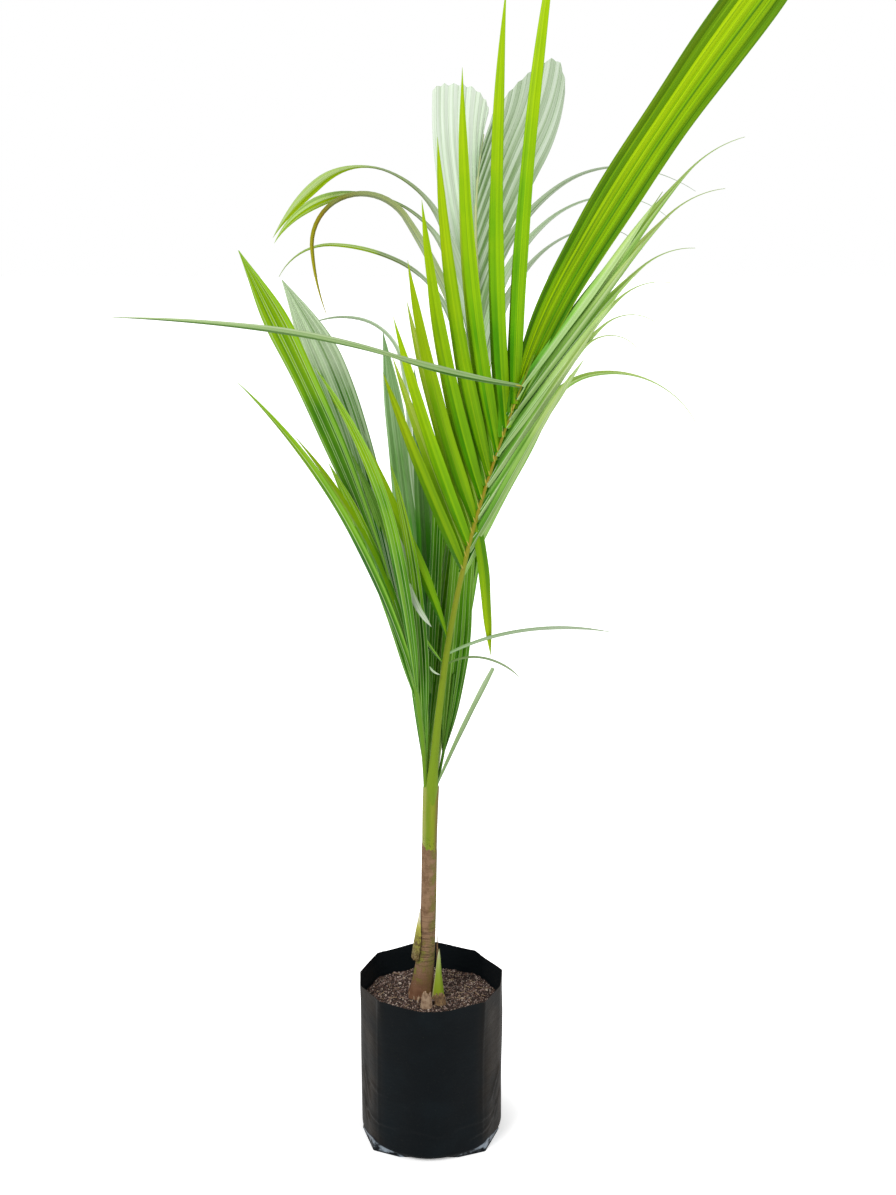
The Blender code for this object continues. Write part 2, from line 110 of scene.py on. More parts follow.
def eased(keys: Keys, share: Any) -> np.ndarray:
    """Value a share of the way through evenly spaced keys, on a smooth curve through them.

    Args:
        keys: Values from the start to the end, four or more.
        share: One share or an array of them, from none to one.

    Returns:
        The values, which stay between the lowest and the highest key.
    """
    values = np.asarray(keys, dtype=float)
    place = np.asarray(share, dtype=float) * (len(values) - 1)
    index = np.clip(place.astype(int), 0, len(values) - 2)
    part = place - index
    padded = np.concatenate(([2 * values[0] - values[1]], values, [2 * values[-1] - values[-2]]))
    a, b, c, d = (padded[index + step] for step in range(4))
    curve = 0.5 * (2 * b + (c - a) * part + (2 * a - 5 * b + 4 * c - d) * part ** 2
                   + (3 * b - a - 3 * c + d) * part ** 3)
    return np.clip(curve, values.min(), values.max())


def keys_between(key_rows: Sequence[Keys], share: float) -> tuple[float, ...]:
    """Keys a share of the way through a row of equally long tuples of keys."""
    return tuple(float(along(column, share)) for column in zip(*key_rows))


def heading(lean: Any, toward: Any) -> np.ndarray:
    """Unit directions from the lean toward +X and the turn toward the viewer, in degrees."""
    lean, toward = np.radians(lean), np.radians(toward)
    return stacked(np.sin(lean) * np.cos(toward), -np.sin(toward), np.cos(lean) * np.cos(toward))


def sweep(start: Keys, length: float, lean: Keys, toward: Keys, steps: int) -> np.ndarray:
    """Points of a curve whose heading follows the lean and toward keys.

    Args:
        start: Where the curve begins.
        length: Length of the curve.
        lean: Lean from upright toward +X, in degrees, from root to tip.
        toward: Turn toward the viewer, in degrees, from root to tip.
        steps: Number of equal steps.

    Returns:
        One more point than there are steps.
    """
    share = (np.arange(steps) + 0.5) / steps
    moves = heading(along(lean, share), along(toward, share)) * length / steps
    return np.concatenate(([start], start + np.cumsum(moves, axis=0)))


def point_at(points: np.ndarray, share: float) -> np.ndarray:
    """Point a share of the way along a swept curve."""
    return np.array([np.interp(share * (len(points) - 1), np.arange(len(points)), axis) for axis in points.T])


def unit(vectors: np.ndarray) -> np.ndarray:
    """Vectors brought to a length of one."""
    return vectors / np.maximum(np.linalg.norm(vectors, axis=-1, keepdims=True), 1e-12)


def section_axes(points: np.ndarray, roll: np.ndarray) -> tuple[np.ndarray, np.ndarray]:
    """Width and face directions along a curve; with no roll the face looks at the viewer.

    Args:
        points: Points of the curve.
        roll: Roll about the curve at each point, in degrees.

    Returns:
        The width directions and the face directions.
    """
    tangent = unit(np.gradient(points, axis=0))
    face = unit(VIEWER - tangent * (tangent @ VIEWER)[:, None])
    across = np.cross(tangent, face)
    cosine, sine = np.cos(np.radians(roll))[:, None], np.sin(np.radians(roll))[:, None]
    return across * cosine + face * sine, face * cosine - across * sine


def triangle_wave(run: np.ndarray, flats: int) -> tuple[np.ndarray, np.ndarray]:
    """Pleats that rise and fall over even flats.

    Args:
        run: Places across, counted in flats.
        flats: Number of flats.

    Returns:
        The height from -1 to 1, and whether the flat rises.
    """
    whole = np.minimum(run.astype(int), flats - 1)
    rising = whole % 2 == 0
    part = run - whole
    return np.where(rising, 2.0 * part - 1.0, 1.0 - 2.0 * part), rising


def placed(name: str, data: Any, place: Keys = (0, 0, 0), turn: Keys = (0, 0, 0)) -> bpy.types.Object:
    """Makes an object and links it to the scene.

    Args:
        name: Its name.
        data: Its mesh, camera or lamp.
        place: Where it stands.
        turn: Its turns about the three axes, in radians.

    Returns:
        The object.
    """
    made = bpy.data.objects.new(name, data)
    made.location, made.rotation_euler = place, turn
    bpy.context.scene.collection.objects.link(made)
    return made


class Wiring:
    """Short way of wiring the nodes of one material."""

    def __init__(self, name: str) -> None:
        """Starts a material with its Principled shader.

        Args:
            name: Name of the material.
        """
        self.material = bpy.data.materials.new(name)
        self.material.use_nodes = True
        self.tree = self.material.node_tree
        self.shader = self.tree.nodes["Principled BSDF"]

    def feed(self, socket: Socket, value: Any) -> None:
        """Links a socket to another, or sets it to a plain value.

        Args:
            socket: The input.
            value: The output that feeds it, or its value.
        """
        if isinstance(value, Socket):
            self.tree.links.new(value, socket)
        else:
            socket.default_value = value

    def node(self, kind: str, inputs: dict[Any, Any], **settings: Any) -> bpy.types.Node:
        """Adds a node.

        Args:
            kind: Blender's name of the node type.
            inputs: Sockets to link or set, by name or number.
            settings: The node's own options.

        Returns:
            The node.
        """
        made = self.tree.nodes.new(kind)
        for key, value in settings.items():
            setattr(made, key, value)
        for key, value in inputs.items():
            self.feed(made.inputs[key], value)
        return made

    def maths(self, operation: str, first: Any, second: Any) -> Socket:
        """Result of a Math node, kept between none and one."""
        inputs = {0: first, 1: second}
        return self.node("ShaderNodeMath", inputs, operation=operation, use_clamp=True).outputs[0]

    def times(self, first: Any, second: Any) -> Socket:
        """Product of two shares."""
        return self.maths("MULTIPLY", first, second)

    def level(self, value: Any, gain: float, base: float) -> Socket:
        """Value times a gain plus a base, with no limits."""
        return self.node("ShaderNodeMath", {0: value, 1: gain, 2: base}, operation="MULTIPLY_ADD").outputs[0]

    def step(self, value: Any, low: float, high: float) -> Socket:
        """Smooth rise from none at the low value to one at the high value."""
        inputs = {0: value, 1: low, 2: high}
        return self.node("ShaderNodeMapRange", inputs, interpolation_type="SMOOTHSTEP").outputs[0]

    def fall(self, value: Any, low: float, high: float) -> Socket:
        """Smooth fall from one at the low value to none at the high value."""
        return self.maths("SUBTRACT", 1.0, self.step(value, low, high))

    def mix(self, share: Any, first: Any, second: Any, blend: str = "MIX") -> Socket:
        """Blend of two colours."""
        inputs = {0: share, 6: first, 7: second}
        return self.node("ShaderNodeMix", inputs, data_type="RGBA", blend_type=blend).outputs[2]

    def tint(self, colour: Any, mask: Any, share: float, code: str) -> Socket:
        """Colour moved toward a colour code by a mask times a share."""
        return self.mix(mask if share == 1.0 else self.times(mask, share), colour, srgb(code))

    def shade(self, colour: Any, mask: Any, share: float, factor: Keys) -> Socket:
        """Colour multiplied by a factor, by a mask times a share."""
        return self.mix(self.times(mask, share), colour, self.mix(1.0, colour, factor, "MULTIPLY"))

    def ramp(self, share: Any, stops: Stops) -> Socket:
        """Colour from a ramp.

        Args:
            share: Place on the ramp.
            stops: Places and colour codes.

        Returns:
            The colour.
        """
        made = self.node("ShaderNodeValToRGB", {0: share})
        elements = made.color_ramp.elements
        while len(elements) < len(stops):
            elements.new(0.5)
        for element, (place, code) in zip(elements, stops):
            element.position, element.color = place, srgb(code)
        return made.outputs[0]

    def map(self, name: str) -> Socket:
        """Place on one of the piece's maps."""
        return self.node("ShaderNodeUVMap", {}, uv_map=name).outputs[0]

    def place(self) -> Socket:
        """Place on the object, in metres."""
        return self.node("ShaderNodeTexCoord", {}).outputs["Object"]

    def look(self) -> tuple[Socket, ...]:
        """The four numbers that each point of a piece carries for its finish.

        Returns:
            The four numbers.
        """
        made = self.node("ShaderNodeAttribute", {}, attribute_name="look", attribute_type="GEOMETRY")
        parts = self.node("ShaderNodeSeparateColor", {0: made.outputs["Color"]})
        return *list(parts.outputs)[:3], made.outputs["Alpha"]

    def scaled(self, vector: Any, scale: Keys) -> Socket:
        """A vector stretched along its axes."""
        return self.node("ShaderNodeMapping", {0: vector, 3: scale}).outputs[0]

    def noise(self, vector: Any, scale: float, detail: float, roughness: float) -> Socket:
        """Cloudy noise from none to one."""
        inputs = {"Vector": vector, "Scale": scale, "Detail": detail, "Roughness": roughness}
        return self.node("ShaderNodeTexNoise", inputs).outputs[0]

    def cloud(self, scale: float, detail: float = 3.0, roughness: float = 0.6) -> Socket:
        """Noise by place on the object, with so many changes a metre."""
        return self.noise(self.place(), scale, detail, roughness)

    def fibre(self, across: float, run: float, detail: float = 3.0, roughness: float = 0.6) -> Socket:
        """Noise on the grain map, with so many changes a metre across it and along it."""
        return self.noise(self.scaled(self.map("grain"), (across, run, 1.0)), 1.0, detail, roughness)

    def dress(self, colour: Any, roughness: Any, specular: Any = 0.5) -> None:
        """Gives the shader its colour, its roughness and its gloss.

        Args:
            colour: Base colour.
            roughness: From glossy at none to dull at one.
            specular: Strength of the gloss.
        """
        values = {"Base Color": colour, "Roughness": roughness, "Specular IOR Level": specular}
        for name, value in values.items():
            self.feed(self.shader.inputs[name], value)

    def relief(self, height: Any, strength: float, distance: float) -> None:
        """Bumps on the surface, from a height between none and one."""
        inputs = {"Strength": strength, "Distance": distance, "Height": height}
        self.feed(self.shader.inputs["Normal"], self.node("ShaderNodeBump", inputs).outputs[0])


@dataclass(frozen=True)
class LeafFinish:
    """Living leaf: colours from root to tip and across it, a root darkened partly as painted shade, facets
    paled as painted light, streaks, a midrib line partly painted as a highlight, and veins.
    """

    stops: Stops
    pale: str
    painted_lit_facet_share: float
    line: str
    rib_line_and_glint_share: float
    under: str
    under_share: float = 0.5
    bands: Stops = ()
    margin_share: float = 0.30
    streak_share: float = 0.55
    light_share: float = 0.30
    vein_share: float = 0.42
    roughness: float = 0.38
    specular: float = 0.13

    def material(self, name: str) -> Material:
        """Wires the leaf's material, whose patterns follow the leaf's own maps.

        Args:
            name: Name of the material.

        Returns:
            The material.
        """
        w = Wiring(name)
        reach, facet, chance, across = w.look()
        fold, under = list(w.node("ShaderNodeSeparateXYZ", {0: w.map("fold")}).outputs)[:2]
        veins, streaks = w.fibre(420.0, 2.5, 2.0), w.fibre(190.0, 1.3, 1.0, 0.5)
        shifted = w.maths("ADD", reach, w.level(w.cloud(14.0, 2.0, 0.5), 0.5, -0.04))
        # Colour from root to tip; the darker root partly paints the shade where the leaves crowd together.
        colour = w.ramp(w.maths("SUBTRACT", shifted, 0.2), self.stops)
        # Bands across the leaf, partly painted light and shade of its folded halves.
        if self.bands:
            band = w.ramp(w.maths("ADD", across, w.level(streaks, 0.08, -0.04)), self.bands)
            colour = w.mix(w.level(reach, 0.42, 0.52), colour, band)
        # Painted light: the facet on one side of each fold is paler, as if it faced the lamp.
        colour = w.tint(colour, facet, self.painted_lit_facet_share, self.pale)
        colour = w.tint(colour, under, self.under_share, self.under)
        colour = w.shade(colour, w.fall(streaks, 0.36, 0.50), self.streak_share, STREAK_SHADE)
        colour = w.tint(colour, w.step(streaks, 0.53, 0.64), self.light_share, self.pale)
        # Midrib and fold lines paled, partly the real pale rib and partly a painted highlight on the fold
        # ridges.
        colour = w.tint(colour, w.fall(fold, 0.02, 0.11), self.rib_line_and_glint_share, self.line)
        colour = w.tint(colour, w.step(fold, 0.84, 0.98), self.margin_share, self.stops[0][1])
        colour = w.shade(colour, w.fall(veins, 0.34, 0.60), self.vein_share, VEIN_SHADE)
        varied = {"Hue": w.level(chance, 0.008, 0.500), "Saturation": 1.06,
                  "Value": w.level(chance, 0.24, 0.86), "Color": colour}
        colour = w.node("ShaderNodeHueSaturation", varied).outputs[0]
        w.dress(colour, w.level(streaks, 0.16, self.roughness), self.specular)
        w.relief(streaks, 0.25, 0.0012)
        return w.material


class Tone(Enum):
    """The kinds of leaf on the plant."""

    FRESH = LeafFinish(((0.0, "3f7a10"), (0.16, "569412"), (0.45, "78aa16"), (0.75, "a0be1e"),
                        (1.0, "b8c63a")),
                       "a6c826", 0.35, "b6d03a", 0.30, "8ab624",
                       margin_share=0.15, streak_share=0.30, light_share=0.25)
    # Lighter yellow-green for leaflets that sit in shade: painted light standing for the light that shines
    # through them.
    INNER = LeafFinish(((0.0, "548a1c"), (0.20, "7cac24"), (0.55, "a4c838"), (0.85, "bcd050"),
                        (1.0, "c8d464")),
                       "d0e070", 0.35, "dce890", 0.40, "a8cc40", margin_share=0.10, streak_share=0.30)
    FAN = LeafFinish(((0.0, "33700c"), (0.26, "559530"), (0.46, "88b850"), (0.64, "b0cc68"), (0.84, "c2d284"),
                      (1.0, "ccd2bc")), "bce084", 0.62, "e4f0c8", 0.60, "9cca62", light_share=0.45)
    FAN_PALE = LeafFinish(((0.0, "4a8c1e"), (0.4, "8cbc58"), (0.8, "bcd484"), (1.0, "c8d0a0")),
                          "cce4a4", 0.65, "e4f0cc", 0.50, "9cc468", light_share=0.45)
    # Its bands paint dark and bright stripes across the folded blade, partly the light and shade of its
    # pleats.
    END_BLADE = LeafFinish(((0.0, "28580a"), (0.14, "3c700c"), (0.30, "5c900e"), (0.52, "92b414"),
                            (0.8, "acc418"), (1.0, "aec41c")), "b0cc1c", 0.10, "3f7a0a", 0.40, "6aa51c", 0.5,
                           ((0.0, "7fa83c"), (0.02, "1e4a06"), (0.14, "26560a"), (0.20, "84ac0a"),
                            (0.30, "b0ca0a"), (0.52, "a4c20c"), (0.60, "7ca80c"), (0.64, "3f780b"),
                            (0.69, "94b810"), (0.82, "7ca410"), (0.88, "30600a"), (0.94, "4f860f"),
                            (1.0, "9cb848")), streak_share=0.84, light_share=0.20)
    FROSTED = LeafFinish(((0.0, "7fa263"), (0.3, "9fba88"), (0.65, "bfd2b2"), (1.0, "d9e4d4")),
                         "dfe9da", 0.66, "7c9f62", 0.60, "c4d5bc", streak_share=0.25)
    FROSTED_WHITE = LeafFinish(((0.0, "8fb07a"), (0.25, "b4caa8"), (0.55, "d2dfcb"), (1.0, "e3eae0")),
                               "e6ede2", 0.55, "aec4a0", 0.55, "cfdcc8", streak_share=0.15)
    ARCHING = LeafFinish(((0.0, "8fae7c"), (0.22, "bccdb4"), (0.45, "b4c4a8"), (0.56, "93a070"),
                          (0.63, "7f8f48"), (0.70, "9cb820"), (0.78, "acc816"), (0.90, "94b814"),
                          (1.0, "6f9412")),
                         "cfdcc6", 0.35, "b0c4a2", 0.30, "c6d6be", 0.6)
    WITHERED = LeafFinish(((0.0, "8fae7c"), (0.40, "b8c8ac"), (0.56, "a4b084"), (0.66, "8f8c40"),
                           (0.74, "a88828"), (0.84, "b4b022"), (1.0, "8f8f60")),
                          "c4c860", 0.25, "8a6f32", 0.20, "b8b878", 0.4)
    DEEP = LeafFinish(((0.0, "568e1a"), (0.18, "438014"), (0.36, "3a760c"), (0.52, "569416"),
                       (0.70, "88b816"), (0.86, "a4c61c"), (1.0, "b8d02a")),
                      "9ccc58", 0.18, "d0e6a8", 0.75, "7cae44", 0.45,
                      streak_share=0.70, light_share=0.74)
    GREY = LeafFinish(((0.0, "2f6a0c"), (0.34, "4a8a1e"), (0.54, "6f9a50"), (0.75, "93b080"),
                       (1.0, "abc0a2")),
                      "a8c490", 0.40, "4f7f34", 0.45, "94b47c", 0.4)
    STRIPED = LeafFinish(((0.0, "3f7f12"), (0.45, "458420"), (0.64, "6f9850"), (0.76, "a8b898"),
                          (0.88, "d0dac4"), (1.0, "e0e6da")), "bcd0a8", 0.36, "e2ecd6", 0.85, "9cb888", 0.45,
                         streak_share=0.70, light_share=0.74)
    LOW = LeafFinish(((0.0, "477f12"), (0.35, "62a024"), (0.7, "78b038"), (1.0, "98be58")),
                     "a4d064", 0.36, "cce6a0", 0.65, "74a83c", 0.45, streak_share=0.66, light_share=0.55)
    DARK = LeafFinish(((0.0, "244c0a"), (0.16, "346a10"), (0.36, "528f22"), (0.7, "7cac38"), (1.0, "98be58")),
                      "98c456", 0.34, "c4e098", 0.65, "74a83c", 0.45, streak_share=0.66, light_share=0.50)
    # Its bands paint one half of the leaf lit and the other half in shade.
    LONG = LeafFinish(((0.0, "2c5a0c"), (0.18, "3c7012"), (0.32, "84ac54"), (0.7, "a4c07c"), (1.0, "b8ca44")),
                      "bcd49c", 0.20, "d3e2bd", 0.30, "5f8f2a", 0.4,
                      ((0.0, "3a681a"), (0.40, "5a8832"), (0.56, "aac686"), (1.0, "d8e4c0")))
    PALE = LeafFinish(((0.0, "8cac72"), (0.4, "b0c4a0"), (0.8, "c0ceb4"), (1.0, "b4c498")),
                      "d8e2d0", 0.5, "86a26e", 0.35, "b4c8a4", 0.4)
    DULL = LeafFinish(((0.0, "5c7f32"), (0.4, "84a064"), (0.8, "a8ba94"), (1.0, "bccab0")),
                      "b8c8a4", 0.5, "5f7f44", 0.30, "8ca470", 0.4)

    def material(self) -> Material:
        """The material of leaves of this kind."""
        return self.value.material("leaf_" + self.name.lower())


class Shape(Enum):
    """Width along a leaf from root to tip, as shares of its full width."""

    LANCE = (0.40, 0.80, 1.00, 0.98, 0.86, 0.62, 0.03)
    SWORD = (0.75, 0.96, 1.00, 0.97, 0.86, 0.60, 0.02)
    BROAD = (0.72, 1.05, 1.06, 1.00, 0.86, 0.58, 0.02)
    FLARED = (0.16, 0.60, 0.77, 0.84, 0.95, 0.82, 0.02)
    TASSEL = (0.55, 0.90, 1.00, 0.98, 0.66, 0.17, 0.04)
    LOW = (0.10, 0.74, 1.00, 0.96, 0.86, 0.60, 0.02)
    WHIP = (0.60, 0.95, 1.00, 0.84, 0.46, 0.16, 0.05)
    DROOP = (0.50, 0.92, 1.00, 0.56, 0.26, 1.00, 0.02)
    THREAD = (0.30, 0.70, 1.00, 0.95, 0.70, 0.42, 0.05)
    BLADE = (0.30, 0.92, 1.00, 0.92, 0.80, 0.58, 0.02)
    OAR = (0.22, 0.50, 0.76, 0.92, 1.00, 0.90, 0.03)
    SPEAR = (1.00, 0.88, 0.70, 0.52, 0.40, 0.26, 0.06)
    STRIP = (0.45, 0.80, 0.92, 1.00, 1.00, 0.98, 0.70)


@dataclass(frozen=True)
class HuskFinish:
    """Dry husk: two clouded colours with fibres and relief."""

    name: str
    colours: tuple[str, str, str]
    cloud_scale: float
    grain: tuple[float, float]
    roughness: float
    relief: float
    relief_depth: float

    def material(self) -> Material:
        """Wires the husk's material.

        Returns:
            The material, patterned by place on the object and on its grain map.
        """
        w = Wiring(self.name)
        cloud, fibre = w.cloud(self.cloud_scale, 4.0), w.fibre(*self.grain)
        colour = w.mix(w.step(cloud, 0.36, 0.64), srgb(self.colours[0]), srgb(self.colours[1]))
        colour = w.tint(colour, w.step(fibre, 0.45, 0.75), 0.7, self.colours[2])
        w.dress(colour, w.level(fibre, 0.25, self.roughness - 0.12))
        w.relief(fibre, self.relief, self.relief_depth)
        return w.material


HUSK_TAN = HuskFinish("husk_tan", ("b79a7c", "8d6f58", "cdb79a"), 160.0, (900.0, 60.0), 0.8, 0.6, 0.0008)
HUSK_BROWN = HuskFinish("husk_brown", ("8a6c4a", "5c4432", "c2a470"), 210.0, (700.0, 70.0), 0.85, 0.7, 0.0008)
STRAW = HuskFinish("straw", ("b89f7e", "8e745a", "d9c8ac"), 300.0, (900.0, 60.0), 0.8, 0.3, 0.0004)


class MeshPile:
    """Gathers closed tubes and sheets, with their maps, into one mesh object."""

    def __init__(self, name: str) -> None:
        """Starts an empty pile.

        Args:
            name: Name of the piece that it becomes.
        """
        self.name = name
        self.points: list[np.ndarray] = []
        self.looks: list[np.ndarray] = []
        self.faces: list[tuple[int, ...]] = []
        self.slots: list[int] = []
        self.maps: dict[str, list[np.ndarray]] = {"OFBake": [], "grain": [], "fold": []}
        self.blocks: list[np.ndarray] = []
        self.widths: list[float] = []
        self.count = 0

    def tube(self, rings: np.ndarray, look: np.ndarray, grain: np.ndarray, fold: np.ndarray,
             width: float, slot: int, flat: bool) -> None:
        """Adds a closed tube from rings of points.

        Args:
            rings: Points, as rings by places round each ring by three.
            look: Four numbers for each point.
            grain: Map in metres, with one more place round than there are points.
            fold: Map of folds and undersides, of the same size.
            width: Size of the tube's share of the bake map.
            slot: Number of the tube's finish.
            flat: True where a ring is a thin leaf section and not a round one.
        """
        rows, sides = rings.shape[:2]
        half = sides // 2
        self.points.append(rings.reshape(-1, 3))
        self.looks.append(look.reshape(-1, 4))
        row, side = np.meshgrid(np.arange(rows - 1), np.arange(sides), indexing="ij")
        near, after = row * sides + self.count, (side + 1) % sides
        quads = np.stack((near + side, near + after, near + sides + after, near + sides + side), axis=-1)
        self.faces.extend(map(tuple, quads.reshape(-1, 4).tolist()))
        bake = stacked(np.linspace(0.0, 1.0, sides + 1)[None], np.linspace(0.02, 1.0, rows)[:, None])
        for name, values in (("grain", grain), ("fold", fold), ("OFBake", bake)):
            corners = (values[:-1, :-1], values[:-1, 1:], values[1:, 1:], values[1:, :-1])
            self.maps[name].append(np.stack(corners, axis=2).reshape(-1, 2))
        caps = [tuple(range(sides))]
        if flat:
            caps = [(0, 1, sides - 1), *((j, j + 1, sides - j - 1, sides - j) for j in range(1, half - 1)),
                    (half - 1, half, half + 1)]
        for end, order in ((0, -1), (rows - 1, 1)):
            for cap in caps:
                index = np.array(cap[::order])
                over = index <= half
                self.faces.append(tuple((index + self.count + end * sides).tolist()))
                self.maps["grain"].append(grain[end][index])
                self.maps["fold"].append(fold[end][index])
                self.maps["OFBake"].append(stacked(np.where(over, index, sides - index) / half * 0.5,
                                                   np.where(over, 0.014, 0.002)))
        self.slots.extend([slot] * (len(self.faces) - len(self.slots)))
        corners_added = quads.size + 2 * sum(len(cap) for cap in caps)
        self.blocks.append(np.full(corners_added, len(self.widths)))
        self.widths.append(width)
        self.count += rows * sides

    def turned(self, rings: np.ndarray, look: np.ndarray, girth: float, run: np.ndarray,
               slot: int = 0) -> None:
        """Adds a closed round form.

        Args:
            rings: Points, as rings by places round each ring by three.
            look: Four numbers for each point.
            girth: Reach of the grain map round the form, in metres.
            run: Place of each ring along the grain map, in metres.
            slot: Number of its finish.
        """
        grain = stacked(np.linspace(0.0, girth, rings.shape[1] + 1)[None], run[:, None])
        self.tube(rings, look, grain, np.ones_like(grain) * (1.0, 0.0), girth, slot, False)

    def sheet(self, top: np.ndarray, thickness: Any, look: np.ndarray, across: Any,
              reach: np.ndarray, fold: Any, toward: np.ndarray, slot: int = 0) -> None:
        """Adds a thin closed sheet under a grid of points.

        Args:
            top: Points of the upper side, rows along and columns across, by three.
            thickness: Thickness at each point; the two outer columns stay sharp.
            look: Four numbers for each point.
            across: Distance across the leaf at each point, in metres.
            reach: Distance along the leaf at each row, in metres.
            fold: Nearness to a fold line at each point, from none at the line.
            toward: Direction that the upper side looks in, for each row.
            slot: Number of the sheet's finish.
        """
        rows, columns = top.shape[:2]
        parts = (across, fold, thickness)
        across, fold, thickness = (np.broadcast_to(part, (rows, columns)) for part in parts)
        normal = unit(np.cross(np.gradient(top, axis=1), np.gradient(top, axis=0)))
        flip = np.sign(np.einsum("rci,ri->r", normal, toward))
        normal *= np.where(flip == 0, 1.0, flip)[:, None, None]
        order = np.arange(columns - 2, 0, -1)
        rings = np.concatenate((top, (top - normal * thickness[..., None])[:, order]), axis=1)
        looks = np.concatenate((look, look[:, order]), axis=1)
        closed = np.concatenate((np.arange(columns), order, [0]))
        side = np.concatenate((np.zeros(columns), np.ones(columns - 2), [0.0]))
        width = float(np.ptp(across, axis=1).max()) * 2.0
        self.tube(rings, looks, stacked(across[:, closed], reach[:, None]), stacked(fold[:, closed], side),
                  width, slot, True)

    def rod(self, points: np.ndarray, radii: np.ndarray, sides: int, chance: float = 0.5, slot: int = 0,
            squash: float = 1.0) -> None:
        """Adds a round tapering rod.

        Args:
            points: Centre line.
            radii: Radius at each point.
            sides: Points round the rod.
            chance: Chance number that the rod carries for its finish.
            slot: Number of its finish.
            squash: Depth of the section as a share of its width.
        """
        across, face = section_axes(points, np.zeros(len(points)))
        cosine, sine = np.cos(turns(sides)), np.sin(turns(sides))
        rings = points[:, None] + radii[:, None, None] * (
            across[:, None] * cosine[..., None] + face[:, None] * sine[..., None] * squash)
        look = stacked(np.linspace(0.0, 1.0, len(points))[:, None], 0.5 + 0.5 * cosine, chance,
                       0.5 + 0.5 * sine)
        run = np.concatenate(([0.0], np.cumsum(np.linalg.norm(np.diff(points, axis=0), axis=1))))
        self.turned(rings, look, FULL_TURN * float(radii.max()), run, slot)

    def make(self, materials: Sequence[Material], slot: str, replaced: Sequence[str] = (),
             sharp: float = 42.0) -> None:
        """Makes the object, dresses it and lets it ride on the plant.

        Args:
            materials: Finishes, in the order of the slot numbers.
            slot: The record's material slot; not used.
            replaced: Solids that the piece stands for.
            sharp: Angle in degrees above which an edge stays crisp.
        """
        mesh = bpy.data.meshes.new(self.name)
        mesh.from_pydata(np.concatenate(self.points), [], self.faces)
        corner = {name: np.concatenate(values) for name, values in self.maps.items()}
        widths, block = np.array(self.widths), np.concatenate(self.blocks)
        starts, shares = (np.cumsum(widths) - widths) / widths.sum(), widths / widths.sum()
        bake = corner["OFBake"]
        bake[:, 0] = starts[block] + (0.03 + 0.94 * bake[:, 0]) * shares[block]
        for name, values in corner.items():
            mesh.uv_layers.new(name=name).uv.foreach_set("vector", values.astype(np.float32).ravel())
        look = mesh.attributes.new("look", "FLOAT_COLOR", "POINT")
        look.data.foreach_set("color", np.concatenate(self.looks).astype(np.float32).ravel())
        mesh.polygons.foreach_set("material_index", np.array(self.slots, dtype=np.int32))
        work = bmesh.new()
        work.from_mesh(mesh)
        bmesh.ops.recalc_face_normals(work, faces=work.faces[:])
        work.to_mesh(mesh)
        work.free()
        mesh.shade_smooth()
        mesh.set_sharp_from_angle(angle=math.radians(sharp))
        for material in materials:
            mesh.materials.append(material)
        piece = placed(self.name, mesh)
        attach(piece, "root")
        if replaced:
            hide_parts(*replaced)
        log.info("%s: %d faces, stands for %s", self.name, len(self.faces), list(replaced) or "nothing")


@dataclass(frozen=True)
class Leaf:
    """One leaflet or fused blade, rooted at a share of its rib's length."""

    place: float
    length: float
    width: float
    lean: tuple[float, ...]
    toward: tuple[float, ...]
    roll: tuple[float, ...]
    pleats: int
    shape: Shape
    tone: Tone

    def columns(self) -> tuple[np.ndarray, np.ndarray, np.ndarray, np.ndarray]:
        """Places across the leaf.

        Returns:
            The places from -1 to 1, and at each of them the height of the fold from -1 to 1,
            the facet from 0 on the left of a fold to 1 on its right, and the distance from a fold.
        """
        if self.pleats == 1:
            place = np.array((-1.0, -0.72, -0.44, -0.16, -0.04, 0.0, 0.04, 0.16, 0.44, 0.72, 1.0))
            return place, 1.0 - 2.0 * np.abs(place) ** 1.15, 0.5 + 0.5 * np.sign(place), np.abs(place)
        flats = 2 * self.pleats
        steps = np.array((0.0, 0.06, 0.35, 0.65, 0.94))
        run = np.concatenate([index + steps for index in range(flats)] + [np.array((float(flats),))])
        wave, rising = triangle_wave(run, flats)
        facet = np.where(np.abs(wave) > 0.995, 0.5, np.where(rising, 0.0, 1.0))
        height = 0.7 * wave + 0.3 * np.sin(0.5 * math.pi * wave)
        return run / flats * 2.0 - 1.0, height, facet, 0.5 - 0.5 * np.abs(wave)

    def add_to(self, pile: MeshPile, root: np.ndarray, slot: int, rng: np.random.Generator) -> None:
        """Adds the leaf to a pile.

        Args:
            pile: The pile.
            root: Where the leaf leaves its rib.
            slot: Number of the leaf's finish.
            rng: Source of the leaf's small chances.
        """
        steps = int(20 + 56 * self.length)
        points = sweep(root, self.length, self.lean, self.toward, steps)
        share = np.linspace(0.0, 1.0, steps + 1)
        wobble = 3.5 * np.sin(FULL_TURN * (share * rng.uniform(1.2, 2.4) + rng.random())) * share
        across, face = section_axes(points, along(self.roll, share) + wobble)
        width = self.width * eased(self.shape.value, share)
        place, height, facet, fold = self.columns()
        if self.pleats == 1:
            depth = width * (0.075 + 0.16 * np.exp(-share / 0.15))
        else:
            depth = width * 0.17 / self.pleats * (1.0 + 0.6 * np.exp(-share / 0.1))
        edge = 1.0 + 0.03 * np.sin(FULL_TURN * (share * 3.0 + rng.random()))
        top = (points[:, None] + across[:, None] * (place * (0.5 * width * edge)[:, None])[..., None]
               + face[:, None] * (height * depth[:, None])[..., None])
        belly = 0.00055 + 0.0009 * np.exp(-(fold / 0.08) ** 2) * (self.pleats == 1)
        thickness = np.clip(belly * np.minimum(1.0, 3.0 * (1.05 - share))[:, None], 0.0, 0.5 * width[:, None])
        look = stacked(share[:, None], facet, rng.random(), 0.5 + 0.5 * place)
        shift = rng.uniform(0.0, 3.0)
        pile.sheet(top, thickness, look, shift + 0.5 * self.width * place, shift + share * self.length,
                   fold, face, slot)


